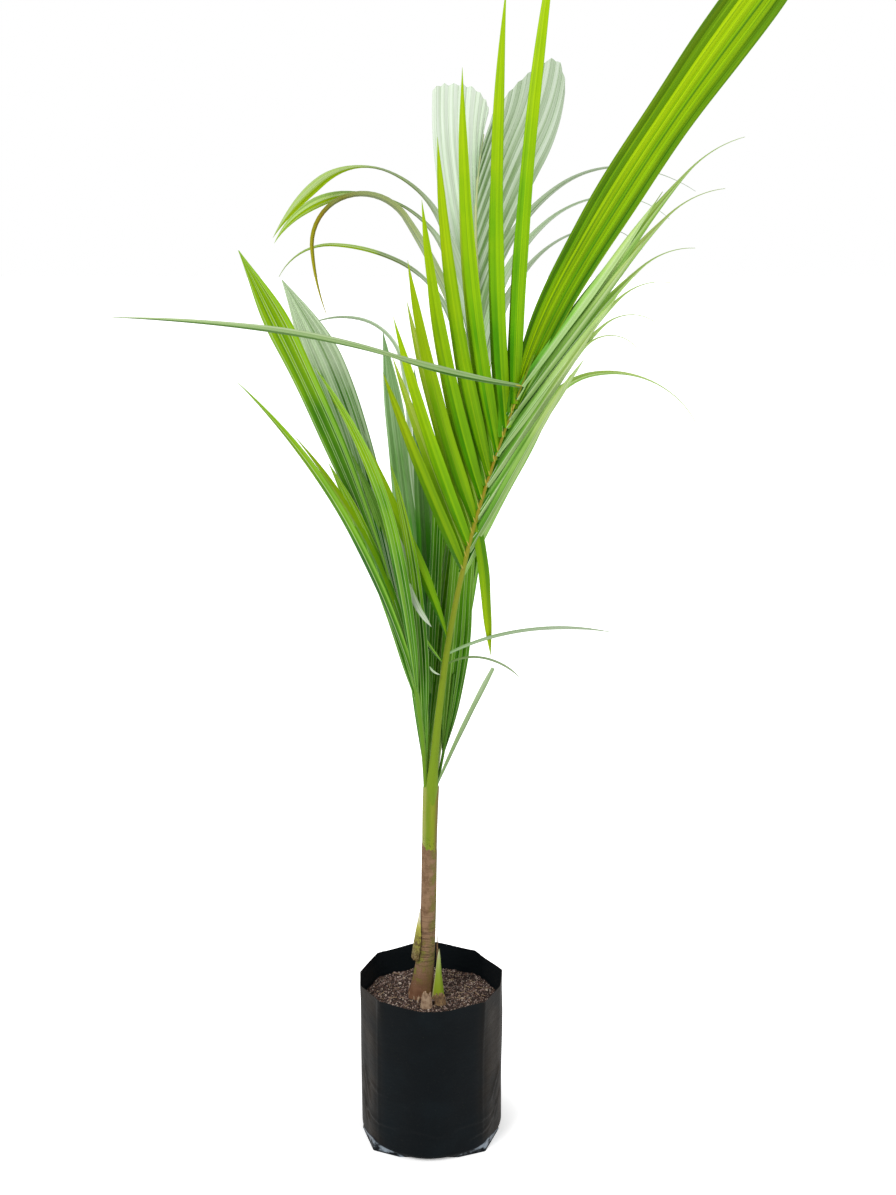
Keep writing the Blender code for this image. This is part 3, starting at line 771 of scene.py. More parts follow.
@dataclass(frozen=True)
class LeafRow:
    """A row of leaflets, with keys from the first leaflet to the last."""

    count: int
    place: tuple[float, ...]
    length: tuple[float, ...]
    width: tuple[float, ...]
    lean: KeyRows
    toward: KeyRows
    roll: KeyRows
    tone: Tone
    shape: Shape
    sway: float = 0.0

    def leaves(self) -> list[Leaf]:
        """The leaflets of the row, each a little off the row's even run.

        Returns:
            The leaflets, from the first to the last.
        """
        leaves = []
        for index, s in enumerate(np.linspace(0.0, 1.0, self.count).tolist()):
            sway = self.sway * math.sin(2.4 * index + self.count)
            lean = tuple(angle + sway * (0.3 + 0.7 * step / len(self.lean[0]))
                         for step, angle in enumerate(keys_between(self.lean, s)))
            place, length, width = (float(along(keys, s)) for keys in (self.place, self.length, self.width))
            length *= 1.0 + 0.012 * self.sway * math.cos(3.1 * index)
            leaves.append(Leaf(place, length, width, lean, keys_between(self.toward, s),
                               keys_between(self.roll, s), 1, self.shape, self.tone))
        return leaves


@dataclass(frozen=True)
class Lobe:
    """One side of a forked frond's end: leaflets along the rib, fused into one pleated sheet."""

    leaflets: int
    place: tuple[float, float]
    length: tuple[float, ...]
    lean: KeyRows
    toward: float
    depth: float
    tone: Tone
    rows: int = 44
    thickness: float = 0.0006

    def add_to(self, pile: MeshPile, rib: np.ndarray, slot: int, rng: np.random.Generator) -> None:
        """Adds the lobe to a pile.

        Args:
            pile: The pile.
            rib: Points of the rib that the leaflets leave.
            slot: Number of the lobe's finish.
            rng: Source of small chances.
        """
        flats = self.leaflets * 2
        run = np.linspace(0.0, flats, flats * 4 + 1)
        part, rising = run % 1.0, (run.astype(int) % 2) == 0
        wave = np.where(rising, 2.0 * part - 1.0, 1.0 - 2.0 * part)
        share, across_share = np.linspace(0.0, 1.0, self.rows), run / flats
        reach = eased(self.length, across_share) - 0.004 * (0.5 - 0.5 * wave)
        points = np.stack([
            sweep(point_at(rib, float(along(self.place, a))), length, keys_between(self.lean, a),
                  (self.toward, self.toward), self.rows - 1)
            for a, length in zip(across_share.tolist(), reach.tolist())], axis=1)
        fade = np.minimum(1.0, share * 6.0)[:, None] * (0.35 + 0.65 * np.sqrt(1.0 - 0.7 * share))[:, None]
        points[..., 1] -= self.depth * wave * fade
        facet = np.where(np.abs(wave) > 0.99, 0.5, np.where(rising, 0.0, 1.0))
        look = stacked(share[:, None], facet, rng.random(), 0.0)
        across = across_share * float(np.linalg.norm(points[-1, 0] - points[-1, -1]))
        pile.sheet(points, self.thickness, look, across, share * float(np.max(self.length)),
                   0.5 - 0.5 * np.abs(wave), np.broadcast_to(VIEWER, (self.rows, 3)), slot)


@dataclass(frozen=True)
class RibFinish:
    """Rib and petiole: colours from the foot to the tip, with pale sides and fine grain."""

    name: str
    stops: Stops
    side: str
    side_share: float
    specular: float = 0.16

    def material(self) -> Material:
        """Wires the rib's material.

        Returns:
            The material, patterned along the rib.
        """
        w = Wiring(self.name)
        reach, side, *_ = w.look()
        grain = w.fibre(900.0, 14.0)
        colour = w.tint(w.ramp(reach, self.stops), w.step(side, 0.62, 0.98), self.side_share, self.side)
        colour = w.shade(colour, w.step(grain, 0.5, 0.75), 0.35, GRAIN_SHADE)
        colour = w.tint(colour, w.step(w.cloud(90.0), 0.66, 0.74), 0.3, "6b4a1e")
        w.dress(colour, w.level(grain, 0.2, 0.34), self.specular)
        w.relief(grain, 0.3, 0.0005)
        return w.material


RIB_ORANGE = RibFinish("rib_orange", ((0.0, "76921a"), (0.15, "78941c"), (0.40, "7f921c"), (0.55, "8e9426"),
                                      (0.75, "94801f"), (0.92, "7f7f1a"), (1.0, "5f8a14")), "86a828", 0.55)
RIB_GREEN = RibFinish("rib_green", ((0.0, "6c8c1c"), (0.3, "66941f"), (0.6, "6a9a30"), (1.0, "8aac5a")),
                      "a9c67c", 0.30)
RIB_DARK = RibFinish("rib_dark", ((0.0, "56821c"), (0.5, "4a7a1c"), (1.0, "4f7e21")), "6f9a38", 0.30)
RIB_PALE = RibFinish("rib_pale", ((0.0, "62882a"), (0.5, "98ac64"), (0.75, "bdc486"), (1.0, "c4cf9c")),
                     "d8dcae", 0.5)
LEAFLET_ROOT = RibFinish("leaflet_root", ((0.0, "a8982e"), (1.0, "b4b04a")), "c9c470", 0.4)


@dataclass(frozen=True)
class Frond:
    """A rib with its leaves; the foot is measured from the middle of the stem's top."""

    name: str
    slot: str
    foot: tuple[float, float]
    length: float
    lean: tuple[float, ...]
    toward: tuple[float, ...]
    radii: tuple[float, ...]
    rib_finish: RibFinish
    seed: int
    leaves: tuple[Leaf, ...]
    rows: tuple[LeafRow, ...] = ()
    lobes: tuple[Lobe, ...] = ()
    sink: float = 0.05
    flare: float = 0.0
    slim: tuple[float, ...] = (1.0,)
    root_beads: bool = False
    steps: int = 90

    def all_leaves(self) -> list[Leaf]:
        """The leaflets of every row, then the frond's other leaves."""
        return [leaf for row in self.rows for leaf in row.leaves()] + list(self.leaves)

    def build(self, stem_top: np.ndarray, materials: Materials) -> None:
        """Builds the rib and the leaves.

        Args:
            stem_top: Middle of the stem's top.
            materials: Materials of the tones and the ribs.
        """
        rng = np.random.default_rng(self.seed)
        rib = sweep(stem_top + np.array((*self.foot, GAP)), self.length, self.lean, self.toward, self.steps)
        self.build_rib(rib, materials)
        pile = MeshPile(self.name + "_leaves")
        parts = [*self.all_leaves(), *self.lobes]
        tones = list(dict.fromkeys(part.tone for part in parts))
        for part in parts:
            root = rib if isinstance(part, Lobe) else point_at(rib, part.place)
            part.add_to(pile, root, tones.index(part.tone), rng)
        pile.make([materials[tone] for tone in tones], self.slot, (self.name,))

    def build_rib(self, rib: np.ndarray, materials: Materials) -> None:
        """Builds the rib, which runs on down into the collar of the stem.

        Args:
            rib: Points of the rib.
            materials: Materials of the tones and the ribs.
        """
        pile = MeshPile(self.name + "_rib")
        down = np.linspace(self.sink, 0.004, 8)[:, None] * np.array((-0.02, 0.0, -1.0))
        share = np.linspace(0.0, 1.0, len(rib))
        upper = along(self.radii, share) * along(self.slim, share)
        upper = upper + self.flare * np.exp(-(share * self.length / 0.045) ** 1.5)
        radii = np.concatenate((np.linspace(0.62 * self.radii[0], upper[0], 8), upper))
        pile.rod(np.concatenate((rib[0] + down, rib)), radii, 20)
        if self.root_beads:
            self.add_beads(pile, rib)
        pile.make([materials[self.rib_finish], materials[LEAFLET_ROOT]], self.slot, (self.name,))

    def add_beads(self, pile: MeshPile, rib: np.ndarray) -> None:
        """Adds the yellow swellings where the left leaflets leave the rib.

        Args:
            pile: The rib's pile.
            rib: Points of the rib.
        """
        swell = np.sin(np.linspace(0.12, 1.0, 9) * math.pi) ** 0.6
        for index, leaf in enumerate(self.all_leaves()):
            if leaf.place < 0.45 or leaf.lean[0] > 25:
                continue
            at = point_at(rib, leaf.place) + VIEWER * 0.6 * float(along(self.radii, leaf.place))
            away = heading(leaf.lean[0], leaf.toward[0]) * np.linspace(-0.1, 1.0, 9)[:, None] * 0.011
            pile.rod(at + away, 0.0012 * np.maximum(swell, 0.12), 10, 0.3 + 0.05 * index, 1)


LEFT_ROW = LeafRow(8, (0.51, 0.89), (0.365, 0.445, 0.545, 0.700), (0.0190, 0.0212, 0.0200),
                   ((-22, -19), (-19, -7), (-14, -1), (0, 9)), ((20, 14), (4, 0)), ((15,), (10,)),
                   Tone.FRESH, Shape.BROAD)
# These leaflets in the shade behind the front row are dressed lighter, as painted light through them.
LEFT_BETWEEN = LeafRow(7, (0.54, 0.87), (0.345, 0.420, 0.500, 0.570), (0.0165, 0.0180, 0.0175),
                       ((-21, -18), (-17, -6), (-12, 0), (1, 8)), ((10, 6), (-6, -8)), ((-20,), (-15,)),
                       Tone.INNER, Shape.BROAD)
FAN_ROW = LeafRow(6, (0.58, 0.90), (0.445, 0.435, 0.528), (0.022, 0.023),
                  ((40, 18, 28, 30, 46, 145), (24, 33, 38, 40, 49, 96), (30, 40, 36, 37, 43, 76)),
                  ((8, 4, 0), (0, -5, -10)), ((-10, -20, -50), (-10, -20, -50)), Tone.FAN, Shape.TASSEL, 0.8)
FAN_BETWEEN = LeafRow(6, (0.55, 0.93), (0.33, 0.30, 0.34), (0.016, 0.015),
                      ((30, 27, 28, 29), (34, 35, 36, 36), (36, 37, 36, 35)),
                      ((12, 14), (4, 2)), ((-5, -15), (-5, -15)), Tone.FAN_PALE, Shape.SWORD, 2.0)
ARCH_RIGHT = LeafRow(3, (0.54, 0.62), (0.523, 0.591), (0.017, 0.017),
                     ((5, 12, 23, 45, 79, 142), (-4, 12, 31, 55, 95, 123)),
                     ((-14, -8), (-4, 6)), ((0, -10, -50, -45), (0, -10, -50, -45)), Tone.PALE, Shape.WHIP)

FRONDS = (
    Frond("front_frond", "leaf_front", (0.0015, -0.0070), 0.772, (4, 7, 12, 17, 20), (2, 6, 10, 14, 18),
          (0.0066, 0.0076, 0.0072, 0.0064, 0.0056, 0.0046, 0.0036, 0.0028, 0.0024), RIB_ORANGE, 11, (
              Leaf(0.50, 0.585, 0.021, (26, 25, 29, 24, 80, 115, 150), (2, -4), (-5, -20, -55), 1, Shape.WHIP,
                   Tone.FAN),
              Leaf(0.88, 0.897, 0.082, (15.5, 29.0, 33.5, 37.0, 35.0), (6, 2), (14,), 7, Shape.FLARED,
                   Tone.END_BLADE),
              Leaf(0.34, 0.459, 0.021, (-16.4, -22.5, -23.1, -33.8), (10, 12), (15,), 1, Shape.LOW,
                   Tone.FRESH),
              Leaf(0.285, 0.450, 0.016, (-38.5, -29, -26.5, -36), (8, 14), (12,), 1, Shape.LOW, Tone.DEEP),
              Leaf(0.86, 0.400, 0.026, (27, 36, 34, 33), (5, 2), (-10,), 2, Shape.TASSEL, Tone.FAN),
              Leaf(0.93, 0.617, 0.017, (-80, -71, -82, -88), (22, 8), (-20, 60, 40, 30), 1, Shape.THREAD,
                   Tone.LONG),
              Leaf(0.62, 0.234, 0.017, (167, 176, 174.5), (-12, -2), (10,), 1, Shape.BROAD, Tone.FRESH),
              Leaf(0.31, 0.288, 0.015, (60, 80, 99), (10, 8), (-50,), 1, Shape.LANCE, Tone.PALE),
              Leaf(0.285, 0.142, 0.010, (54, 100, 138), (10, 8), (-50,), 1, Shape.LANCE, Tone.DULL),
          ), (LEFT_ROW, LEFT_BETWEEN, FAN_BETWEEN, FAN_ROW),
          flare=0.0040, slim=(0.92, 0.80, 0.76, 0.62, 0.56), root_beads=True),
    Frond("back_frond", "leaf_back", (0.0064, 0.0077), 1.120, (6, 11.1, 2.9, 3.6, -4.1, 10.3),
          (-4, -10, -16, -20, -18), (0.0042, 0.0042, 0.0038, 0.0030, 0.0020), RIB_PALE, 12, (
              Leaf(0.52, 0.583, 0.012, (-4, -9, -27, -65, -88, -152), (-14, -8), (0, 10, 50, 20, 10), 1,
                   Shape.THREAD, Tone.ARCHING),
              Leaf(0.603, 0.590, 0.018, (-2.5, -13, -26, -66, -108, -150), (-9, -1), (0, 8, 52, 15, 5), 1,
                   Shape.DROOP, Tone.ARCHING),
              Leaf(0.64, 0.605, 0.018, (-1, -17, -25, -67, -128, -149), (-4, 6), (0, 8, 52, 15, 5), 1,
                   Shape.DROOP, Tone.ARCHING),
              Leaf(0.58, 0.666, 0.018, (-6, -17, -27, -34, -107, -183, -200), (-9, 2), (0, 8, 50, 45, 20), 1,
                   Shape.THREAD, Tone.WITHERED),
          ), (ARCH_RIGHT,), (
              Lobe(8, (0.66, 0.975), (0.459, 0.415, 0.364, 0.312, 0.257, 0.195, 0.132, 0.069),
                   ((-19.4, -14.4, -8.4, 2.6), (-15.7, -11.5, -6.6, 2.5), (-9.3, -6.0, -2.1, 5.2),
                    (-0.1, 2.3, 5.2, 10.6), (8.6, 10.6, 13.0, 17.4)), -15, 0.0026, Tone.FROSTED_WHITE),
              Lobe(9, (0.735, 0.975), (0.398, 0.402, 0.381, 0.335, 0.280, 0.226, 0.171, 0.118, 0.069),
                   ((21.9, 25.9, 28.9, 5.9), (20.2, 23.5, 25.9, 7.2), (18.8, 21.3, 23.2, 8.8),
                    (17.9, 19.7, 21.0, 10.9), (18.0, 19.0, 19.8, 14.0)), -15, 0.0030, Tone.FROSTED),
          )),
    Frond("left_frond", "leaf_left", (-0.0092, -0.0030), 0.470, (-2, -7, -15, -22), (4, 12, 20),
          (0.0040, 0.0044, 0.0034, 0.0024), RIB_GREEN, 13, (
              Leaf(0.72, 0.622, 0.045, (-15, -21, -26), (16, 12), (35, 25), 3, Shape.OAR, Tone.DEEP),
              Leaf(0.56, 0.620, 0.057, (-12, -14, -30), (6, 0), (-8,), 7, Shape.OAR, Tone.STRIPED),
              Leaf(0.40, 0.638, 0.018, (-13, -23, -41), (22, 24), (30,), 1, Shape.LANCE, Tone.DEEP),
              Leaf(0.68, 0.380, 0.013, (-14, -36), (24, 22), (35,), 1, Shape.LANCE, Tone.FRESH),
              Leaf(0.34, 0.630, 0.021, (-3, -10, -33), (22, 16), (10,), 2, Shape.LOW, Tone.DEEP),
              Leaf(0.06, 0.420, 0.017, (0, -5, -12), (4, 10), (0,), 2, Shape.LOW, Tone.LOW),
              Leaf(0.02, 0.600, 0.026, (-2, -7, -14, -24), (4, 12), (15,), 3, Shape.LOW, Tone.LOW),
              Leaf(0.10, 0.600, 0.022, (-1, -9, -20), (2, 10), (15,), 2, Shape.LOW, Tone.STRIPED),
              Leaf(0.22, 0.560, 0.030, (-5, -13, -21), (2, 6), (10,), 4, Shape.LOW, Tone.DEEP),
              Leaf(0.30, 0.470, 0.030, (-10, -17, -25), (12, 16), (20,), 3, Shape.LOW, Tone.DEEP),
              Leaf(0.14, 0.520, 0.020, (2, -5, -14), (8, 14), (5,), 2, Shape.LOW, Tone.DEEP),
          )),
    Frond("middle_frond", "leaf_middle", (-0.0078, 0.0056), 0.430, (3, 0, -3), (-4, -12, -18),
          (0.0038, 0.0036, 0.0030, 0.0022), RIB_GREEN, 14, (
              Leaf(0.30, 0.658, 0.050, (-6, -9), (-18, -20), (8,), 4, Shape.BLADE, Tone.GREY),
              Leaf(0.66, 0.420, 0.032, (-2, -5), (-12, -10), (-8,), 2, Shape.BLADE, Tone.GREY),
              Leaf(0.90, 0.560, 0.012, (-17, -8, -2, -11, -79, -123), (-20, -10), (30, 50), 1, Shape.LANCE,
                   Tone.PALE),
              Leaf(0.22, 0.580, 0.034, (4, 9, -3), (-4, -8), (-10,), 2, Shape.BLADE, Tone.DEEP),
              Leaf(0.05, 0.400, 0.018, (3, 2, 0), (-4, -12), (0,), 2, Shape.LOW, Tone.LOW),
              Leaf(0.10, 0.620, 0.024, (6, 7, 3), (-2, -8), (10,), 2, Shape.LOW, Tone.DEEP),
              Leaf(0.16, 0.660, 0.024, (9, 9, 4), (-4, -8), (-10,), 2, Shape.LOW, Tone.DEEP),
              Leaf(0.26, 0.560, 0.022, (2, 3, -2), (2, -4), (12,), 2, Shape.LOW, Tone.DEEP),
              Leaf(0.34, 0.600, 0.020, (10, 8, 5), (-8, -12), (0,), 2, Shape.LOW, Tone.LOW),
          )),
    Frond("rear_frond", "leaf_middle", (-0.0015, 0.0108), 0.340, (2, 1, 0), (-8, -20, -32),
          (0.0026, 0.0026, 0.0022), RIB_GREEN, 15, (
              Leaf(0.50, 0.360, 0.050, (-11, -6, -2), (-34, -44), (15,), 4, Shape.BLADE, Tone.GREY),
              Leaf(0.55, 0.350, 0.050, (13, 8, 3), (-32, -42), (-15,), 4, Shape.BLADE, Tone.GREY),
          )),
    Frond("low_frond", "leaf_low", (0.0095, -0.0012), 0.200, (12, 8, 5), (1, 0),
          (0.0026, 0.0026, 0.0020), RIB_DARK, 16, (
              Leaf(0.30, 0.510, 0.047, (8, 4, 4), (0, -2), (-12,), 4, Shape.LOW, Tone.DARK),
              Leaf(0.40, 0.640, 0.026, (6, 6, 9), (-4, -6), (10,), 2, Shape.LOW, Tone.DEEP),
              Leaf(0.50, 0.600, 0.022, (8, 10, 12), (-6, -8), (-5,), 2, Shape.LOW, Tone.LOW),
          )),
)


class BarkFinish:
    """The stem: ringed grey-brown bark below, green above an uneven line, tinted by its sides."""

    def material(self) -> Material:
        """Wires the stem's material.

        Returns:
            The material, patterned by the stem's height and its sides.
        """
        w = Wiring("stem_bark")
        height, green, right, *_ = w.look()
        fibre, rings = w.fibre(700.0, 24.0), w.fibre(7.0, 520.0, 1.0, 0.5)
        cloud, fine = w.cloud(75.0, 4.0, 0.65), w.cloud(420.0)
        bark = w.mix(w.step(cloud, 0.35, 0.66), srgb("937559"), srgb("74583f"))
        bark = w.tint(bark, w.times(w.step(right, 0.42, 0.85), w.step(cloud, 0.34, 0.6)), 1.0, "7a743a")
        bark = w.tint(bark, w.fall(height, 0.04, 0.20), 0.65, "7c523a")
        mossy = w.times(w.times(w.step(height, 0.06, 0.12), w.fall(height, 0.22, 0.32)),
                        w.fall(right, 0.40, 0.62))
        bark = w.tint(bark, w.times(mossy, w.step(cloud, 0.44, 0.58)), 1.0, "84803a")
        band = w.level(w.times(w.step(height, 0.12, 0.20), w.fall(height, 0.32, 0.46)), 0.42, 0.10)
        bark = w.tint(bark, w.times(w.step(rings, 0.50, 0.62), band), 1.0, "3e2d22")
        bark = w.tint(bark, w.step(fine, 0.62, 0.72), 0.5, "b8a184")
        leaf = w.mix(w.step(right, 0.10, 0.34), srgb("9aa24a"), srgb("748c16"))
        leaf = w.tint(leaf, w.step(right, 0.38, 0.62), 1.0, "87941a")
        leaf = w.tint(leaf, w.fall(fibre, 0.30, 0.46), 0.3, "b0b052")
        leaf = w.tint(leaf, w.step(right, 0.72, 0.97), 1.0, "7c6a2a")
        leaf = w.tint(leaf, w.step(fibre, 0.5, 0.72), 0.4, "6f8a12")
        border = w.times(w.step(green, 0.02, 0.3), w.fall(height, 0.71, 0.80))
        leaf = w.tint(leaf, w.times(w.step(fine, 0.56, 0.66), border), 1.0, "3a2c14")
        ragged = w.maths("ADD", green, w.level(cloud, 0.5, -0.25))
        rough = w.mix(green, (0.78, 0.78, 0.78, 1.0), (0.42, 0.42, 0.42, 1.0))
        w.dress(w.mix(w.step(ragged, 0.42, 0.58), bark, leaf), rough, 0.22)
        w.relief(w.maths("ADD", w.times(fibre, 0.4), w.times(rings, 0.6)), 0.6, 0.0014)
        return w.material


class SheathFinish:
    """The torn sheath: brown and mottled at its cut foot, yellow-green, and whitish at its tip."""

    def material(self) -> Material:
        """Wires the sheath's material.

        Returns:
            The material, patterned along the sheath.
        """
        w = Wiring("sheath_split")
        reach, *_ = w.look()
        fibre, cloud = w.fibre(900.0, 30.0), w.cloud(190.0)
        colour = w.ramp(w.maths("ADD", reach, w.level(cloud, 0.16, -0.08)),
                        ((0.0, "7d6844"), (0.12, "8a7a4c"), (0.28, "8f8838"), (0.52, "9f9c34"),
                         (0.68, "b4b04c"), (0.80, "dcd6b0"), (1.0, "efe9dd")))
        colour = w.tint(colour, w.times(w.fall(reach, 0.35, 0.68), w.step(cloud, 0.46, 0.58)), 1.0, "5e4a1e")
        colour = w.tint(colour, w.step(fibre, 0.5, 0.7), 0.30, "808a24")
        w.dress(colour, 0.6)
        w.relief(fibre, 0.5, 0.0006)
        return w.material


@dataclass
class Stem:
    """The stem from the soil to its collar, with its torn sheath and the bumps at its foot."""

    foot: tuple[float, float, float] = (-0.019, 0.010, SOIL_TOP + GAP)
    length: float = 0.399
    lean: tuple[float, ...] = (9.0, 4.0, 1.0, 1.0, 2.5)
    toward: tuple[float, ...] = (4.0, 2.0, 0.5, 0.0, 0.0)
    radii: tuple[float, ...] = (0.0215, 0.0168, 0.0140, 0.0131, 0.0129, 0.0129, 0.0130, 0.0134, 0.0138)
    rows: int = 560
    sides: int = 72
    scars: float = 128.0
    scar_depth: float = 0.00048
    green_from: float = 0.715
    groove_turn: float = 222.0
    sheath_reach: tuple[float, float] = (0.19, 0.43)
    sheath_turn: float = 198.0
    sheath_half_angles: tuple[float, ...] = (30, 36, 32, 18, 3)
    sheath_thickness: tuple[float, ...] = (0.0105, 0.0100, 0.0080, 0.0050, 0.0016)
    sheath_rows: int = 60
    sheath_columns: int = 21
    bump_turns: tuple[float, ...] = (150.0, 187.0, 203.0, 214.0, 229.0, 241.0, 262.0, 281.0, 20.0, 62.0, 98.0)
    bump_swell: tuple[float, ...] = (0.6, 0.9, 1.05, 1.0, 0.85, 0.6, 0.2)
    centre: np.ndarray = field(init=False)

    def __post_init__(self) -> None:
        """Works out the centre line."""
        self.centre = sweep(np.array(self.foot), self.length, self.lean, self.toward, self.rows)

    def build(self) -> None:
        """Builds the stem, the sheath and the foot's bumps."""
        self.build_bark()
        self.build_sheath()
        self.build_foot()

    def build_bark(self) -> None:
        """Builds the stem's skin, with leaf-scar rings and a step where the green begins."""
        share = np.linspace(0.0, 1.0, self.rows + 1)[:, None]
        turn = turns(self.sides)
        radius = eased(self.radii, share[:, 0])[:, None] * np.ones_like(turn)
        ringed = np.exp(-((share - 0.26) / 0.085) ** 2) + 0.12
        radius = radius + self.scar_depth * ringed * np.sin(FULL_TURN * (
            share * self.scars + 0.5 * np.sin(turn + 0.6) + 0.3 * np.sin(3.0 * turn + 5.0 * share)))
        knobs = np.exp(-share / 0.05) * 0.0011 * (
            np.sin(5.0 * turn + 1.0) + np.sin(9.0 * turn + 30.0 * share))
        seams = 0.00035 * np.sin(2.0 * turn + 7.0 * share) * (1.0 - share)
        border = (self.green_from + 0.018 * np.cos(turn - math.pi) + 0.006 * np.sin(4.0 * turn)
                  + 0.004 * np.sin(11.0 * turn + 1.0))
        green = limited((share - border) / 0.012 + 0.5)
        radius = radius + knobs + seams + 0.0005 * (1.0 - green)
        radius = radius * (1.0 - 0.16 * limited((share - 0.985) / 0.015) ** 2)
        slant = turn - math.radians(self.groove_turn) + 0.25 * (share - 0.8)
        groove = np.exp(-((slant / 0.10) ** 2)) * green
        rings = self.centre[:, None] + around(radius - 0.0009 * groove, turn, 0.0)
        pile = MeshPile("stem_bark")
        look = stacked(share, green, 0.5 + 0.5 * np.cos(turn) - 0.25 * groove, 0.5 - 0.5 * np.sin(turn))
        pile.turned(rings, look, FULL_TURN * 0.014, share[:, 0] * self.length)
        pile.make([BarkFinish().material()], "bark", ("stem",))

    def build_sheath(self) -> None:
        """Builds the torn sheath that stands off the stem's left side."""
        share, side = np.linspace(0.0, 1.0, self.sheath_rows), np.linspace(-1.0, 1.0, self.sheath_columns)
        place = along(self.sheath_reach, share)
        half = np.maximum(eased(self.sheath_half_angles, share), 1.5) * (1.0 + 0.05 * np.sin(share * 40.0))
        turn = np.radians(self.sheath_turn + half[:, None] * side)
        middle = np.array([point_at(self.centre, float(at)) for at in place])
        bow = eased(self.sheath_thickness, share)[:, None] * 0.86
        arch = np.sqrt(np.clip(1.0 - side ** 2, 0.0, 1.0)) ** 0.9
        radius = (eased(self.radii, place) + 0.0012)[:, None] + bow * (0.25 + 0.75 * arch)
        radius += 0.0005 * np.sin(side * 14.0) * (1.0 - share)[:, None]
        low = np.exp(-share / 0.06)[:, None]
        top = middle[:, None] + around(radius, turn, 0.0)
        top[..., 2] += 0.0035 * np.abs(np.sin(side * 7.0 + 0.4)) * low - 0.004 * side ** 2 * low
        pile = MeshPile("sheath_shell")
        pile.sheet(top, np.minimum(0.0020, 0.85 * bow) * (0.3 + 0.7 * arch),
                   stacked(share[:, None], 0.5 + 0.5 * side, 0.5, 0.0), side * 0.009, share * 0.1, 0.5,
                   around(1.0, turn[:, self.sheath_columns // 2], 0.0))
        pile.make([SheathFinish().material()], "sheath_green", ("split_sheath",))

    def build_foot(self) -> None:
        """Builds the pale root bumps where the stem leaves the soil."""
        rng = np.random.default_rng(31)
        pile = MeshPile("root_bumps")
        for turn in np.radians(self.bump_turns):
            out = around(1.0, turn, 0.0)
            start = np.array(self.foot) + out * (self.radii[0] - 0.004) + UP * rng.uniform(0.004, 0.010)
            reach = out * rng.uniform(0.003, 0.008) - UP * 0.009
            points = start + np.linspace(0.0, 1.0, 7)[:, None] * reach
            radii = rng.uniform(0.0014, 0.0030) * np.array(self.bump_swell)
            pile.rod(points, radii, 12, rng.random())
        pile.make([HUSK_TAN.material()], "bark")


class ScaleFinish:
    """The scale leaf: yellow-green, paler toward its tip and brown at its margins."""

    def material(self) -> Material:
        """Wires the scale leaf's material.

        Returns:
            The material, patterned along the leaf.
        """
        w = Wiring("scale_leaf_green")
        reach, right, *_ = w.look()
        fibre = w.fibre(1100.0, 16.0)
        colour = w.ramp(reach, ((0.0, "b0a650"), (0.15, "9cb02c"), (0.50, "a0b83c"), (0.78, "b5c070"),
                                (0.93, "c9c9a0"), (1.0, "8a7a4a")))
        colour = w.tint(colour, w.step(right, 0.60, 0.95), 0.50, "6f9420")
        colour = w.tint(colour, w.fall(right, 0.02, 0.14), 0.7, "d9d39a")
        colour = w.tint(colour, w.step(fibre, 0.5, 0.7), 0.35, "789a20")
        w.dress(colour, 0.45)
        w.relief(fibre, 0.4, 0.0006)
        return w.material


@dataclass(frozen=True)
class RaggedStub:
    """A tapering stub of husk with a torn top and a hollow heart."""

    foot: tuple[float, float]
    radius: float
    squash: float
    height: float
    toward: float
    seed: int
    jag: float
    rows: int = 22
    sides: int = 44
    teeth: int = 11
    taper: float = 0.28
    wall: float = 0.86

    def add_to(self, pile: MeshPile) -> None:
        """Adds the stub to a pile.

        Args:
            pile: The pile.
        """
        rng = np.random.default_rng(self.seed)
        share, inner = np.linspace(0.0, 1.0, self.rows)[:, None], np.linspace(1.0, 0.35, 8)[:, None]
        turn = turns(self.sides)
        teeth = rng.uniform(0.62, 1.0, self.teeth)
        tall = np.interp(turn / FULL_TURN * self.teeth, np.arange(self.teeth + 1), np.append(teeth, teeth[0]))
        tall = 1.0 - self.jag * 0.55 * (1.0 - tall) / 0.38 * (0.6 + 0.4 * np.sin(turn * 7.0) ** 2)
        flute = 1.0 + 0.05 * np.sin(turn * 9.0 + self.seed) + 0.03 * np.sin(turn * 17.0 + 2.0)
        wide = np.concatenate((self.radius * (1.0 - self.taper * share) * flute,
                               self.radius * (0.66 - 0.20 * (1.0 - inner)) * flute * self.wall))
        rise = np.concatenate((self.height * share * tall, self.height * inner * tall * 0.98))
        rings = around(wide, turn, rise, self.squash)
        rings[..., 1] -= rise * math.tan(math.radians(self.toward))
        run = np.concatenate((share[:, 0], 2.0 - inner[:, 0])) * self.height
        pile.turned(np.array((*self.foot, SOIL_TOP + GAP)) + rings, np.full((*rise.shape, 4), 0.5),
                    FULL_TURN * self.radius, run)


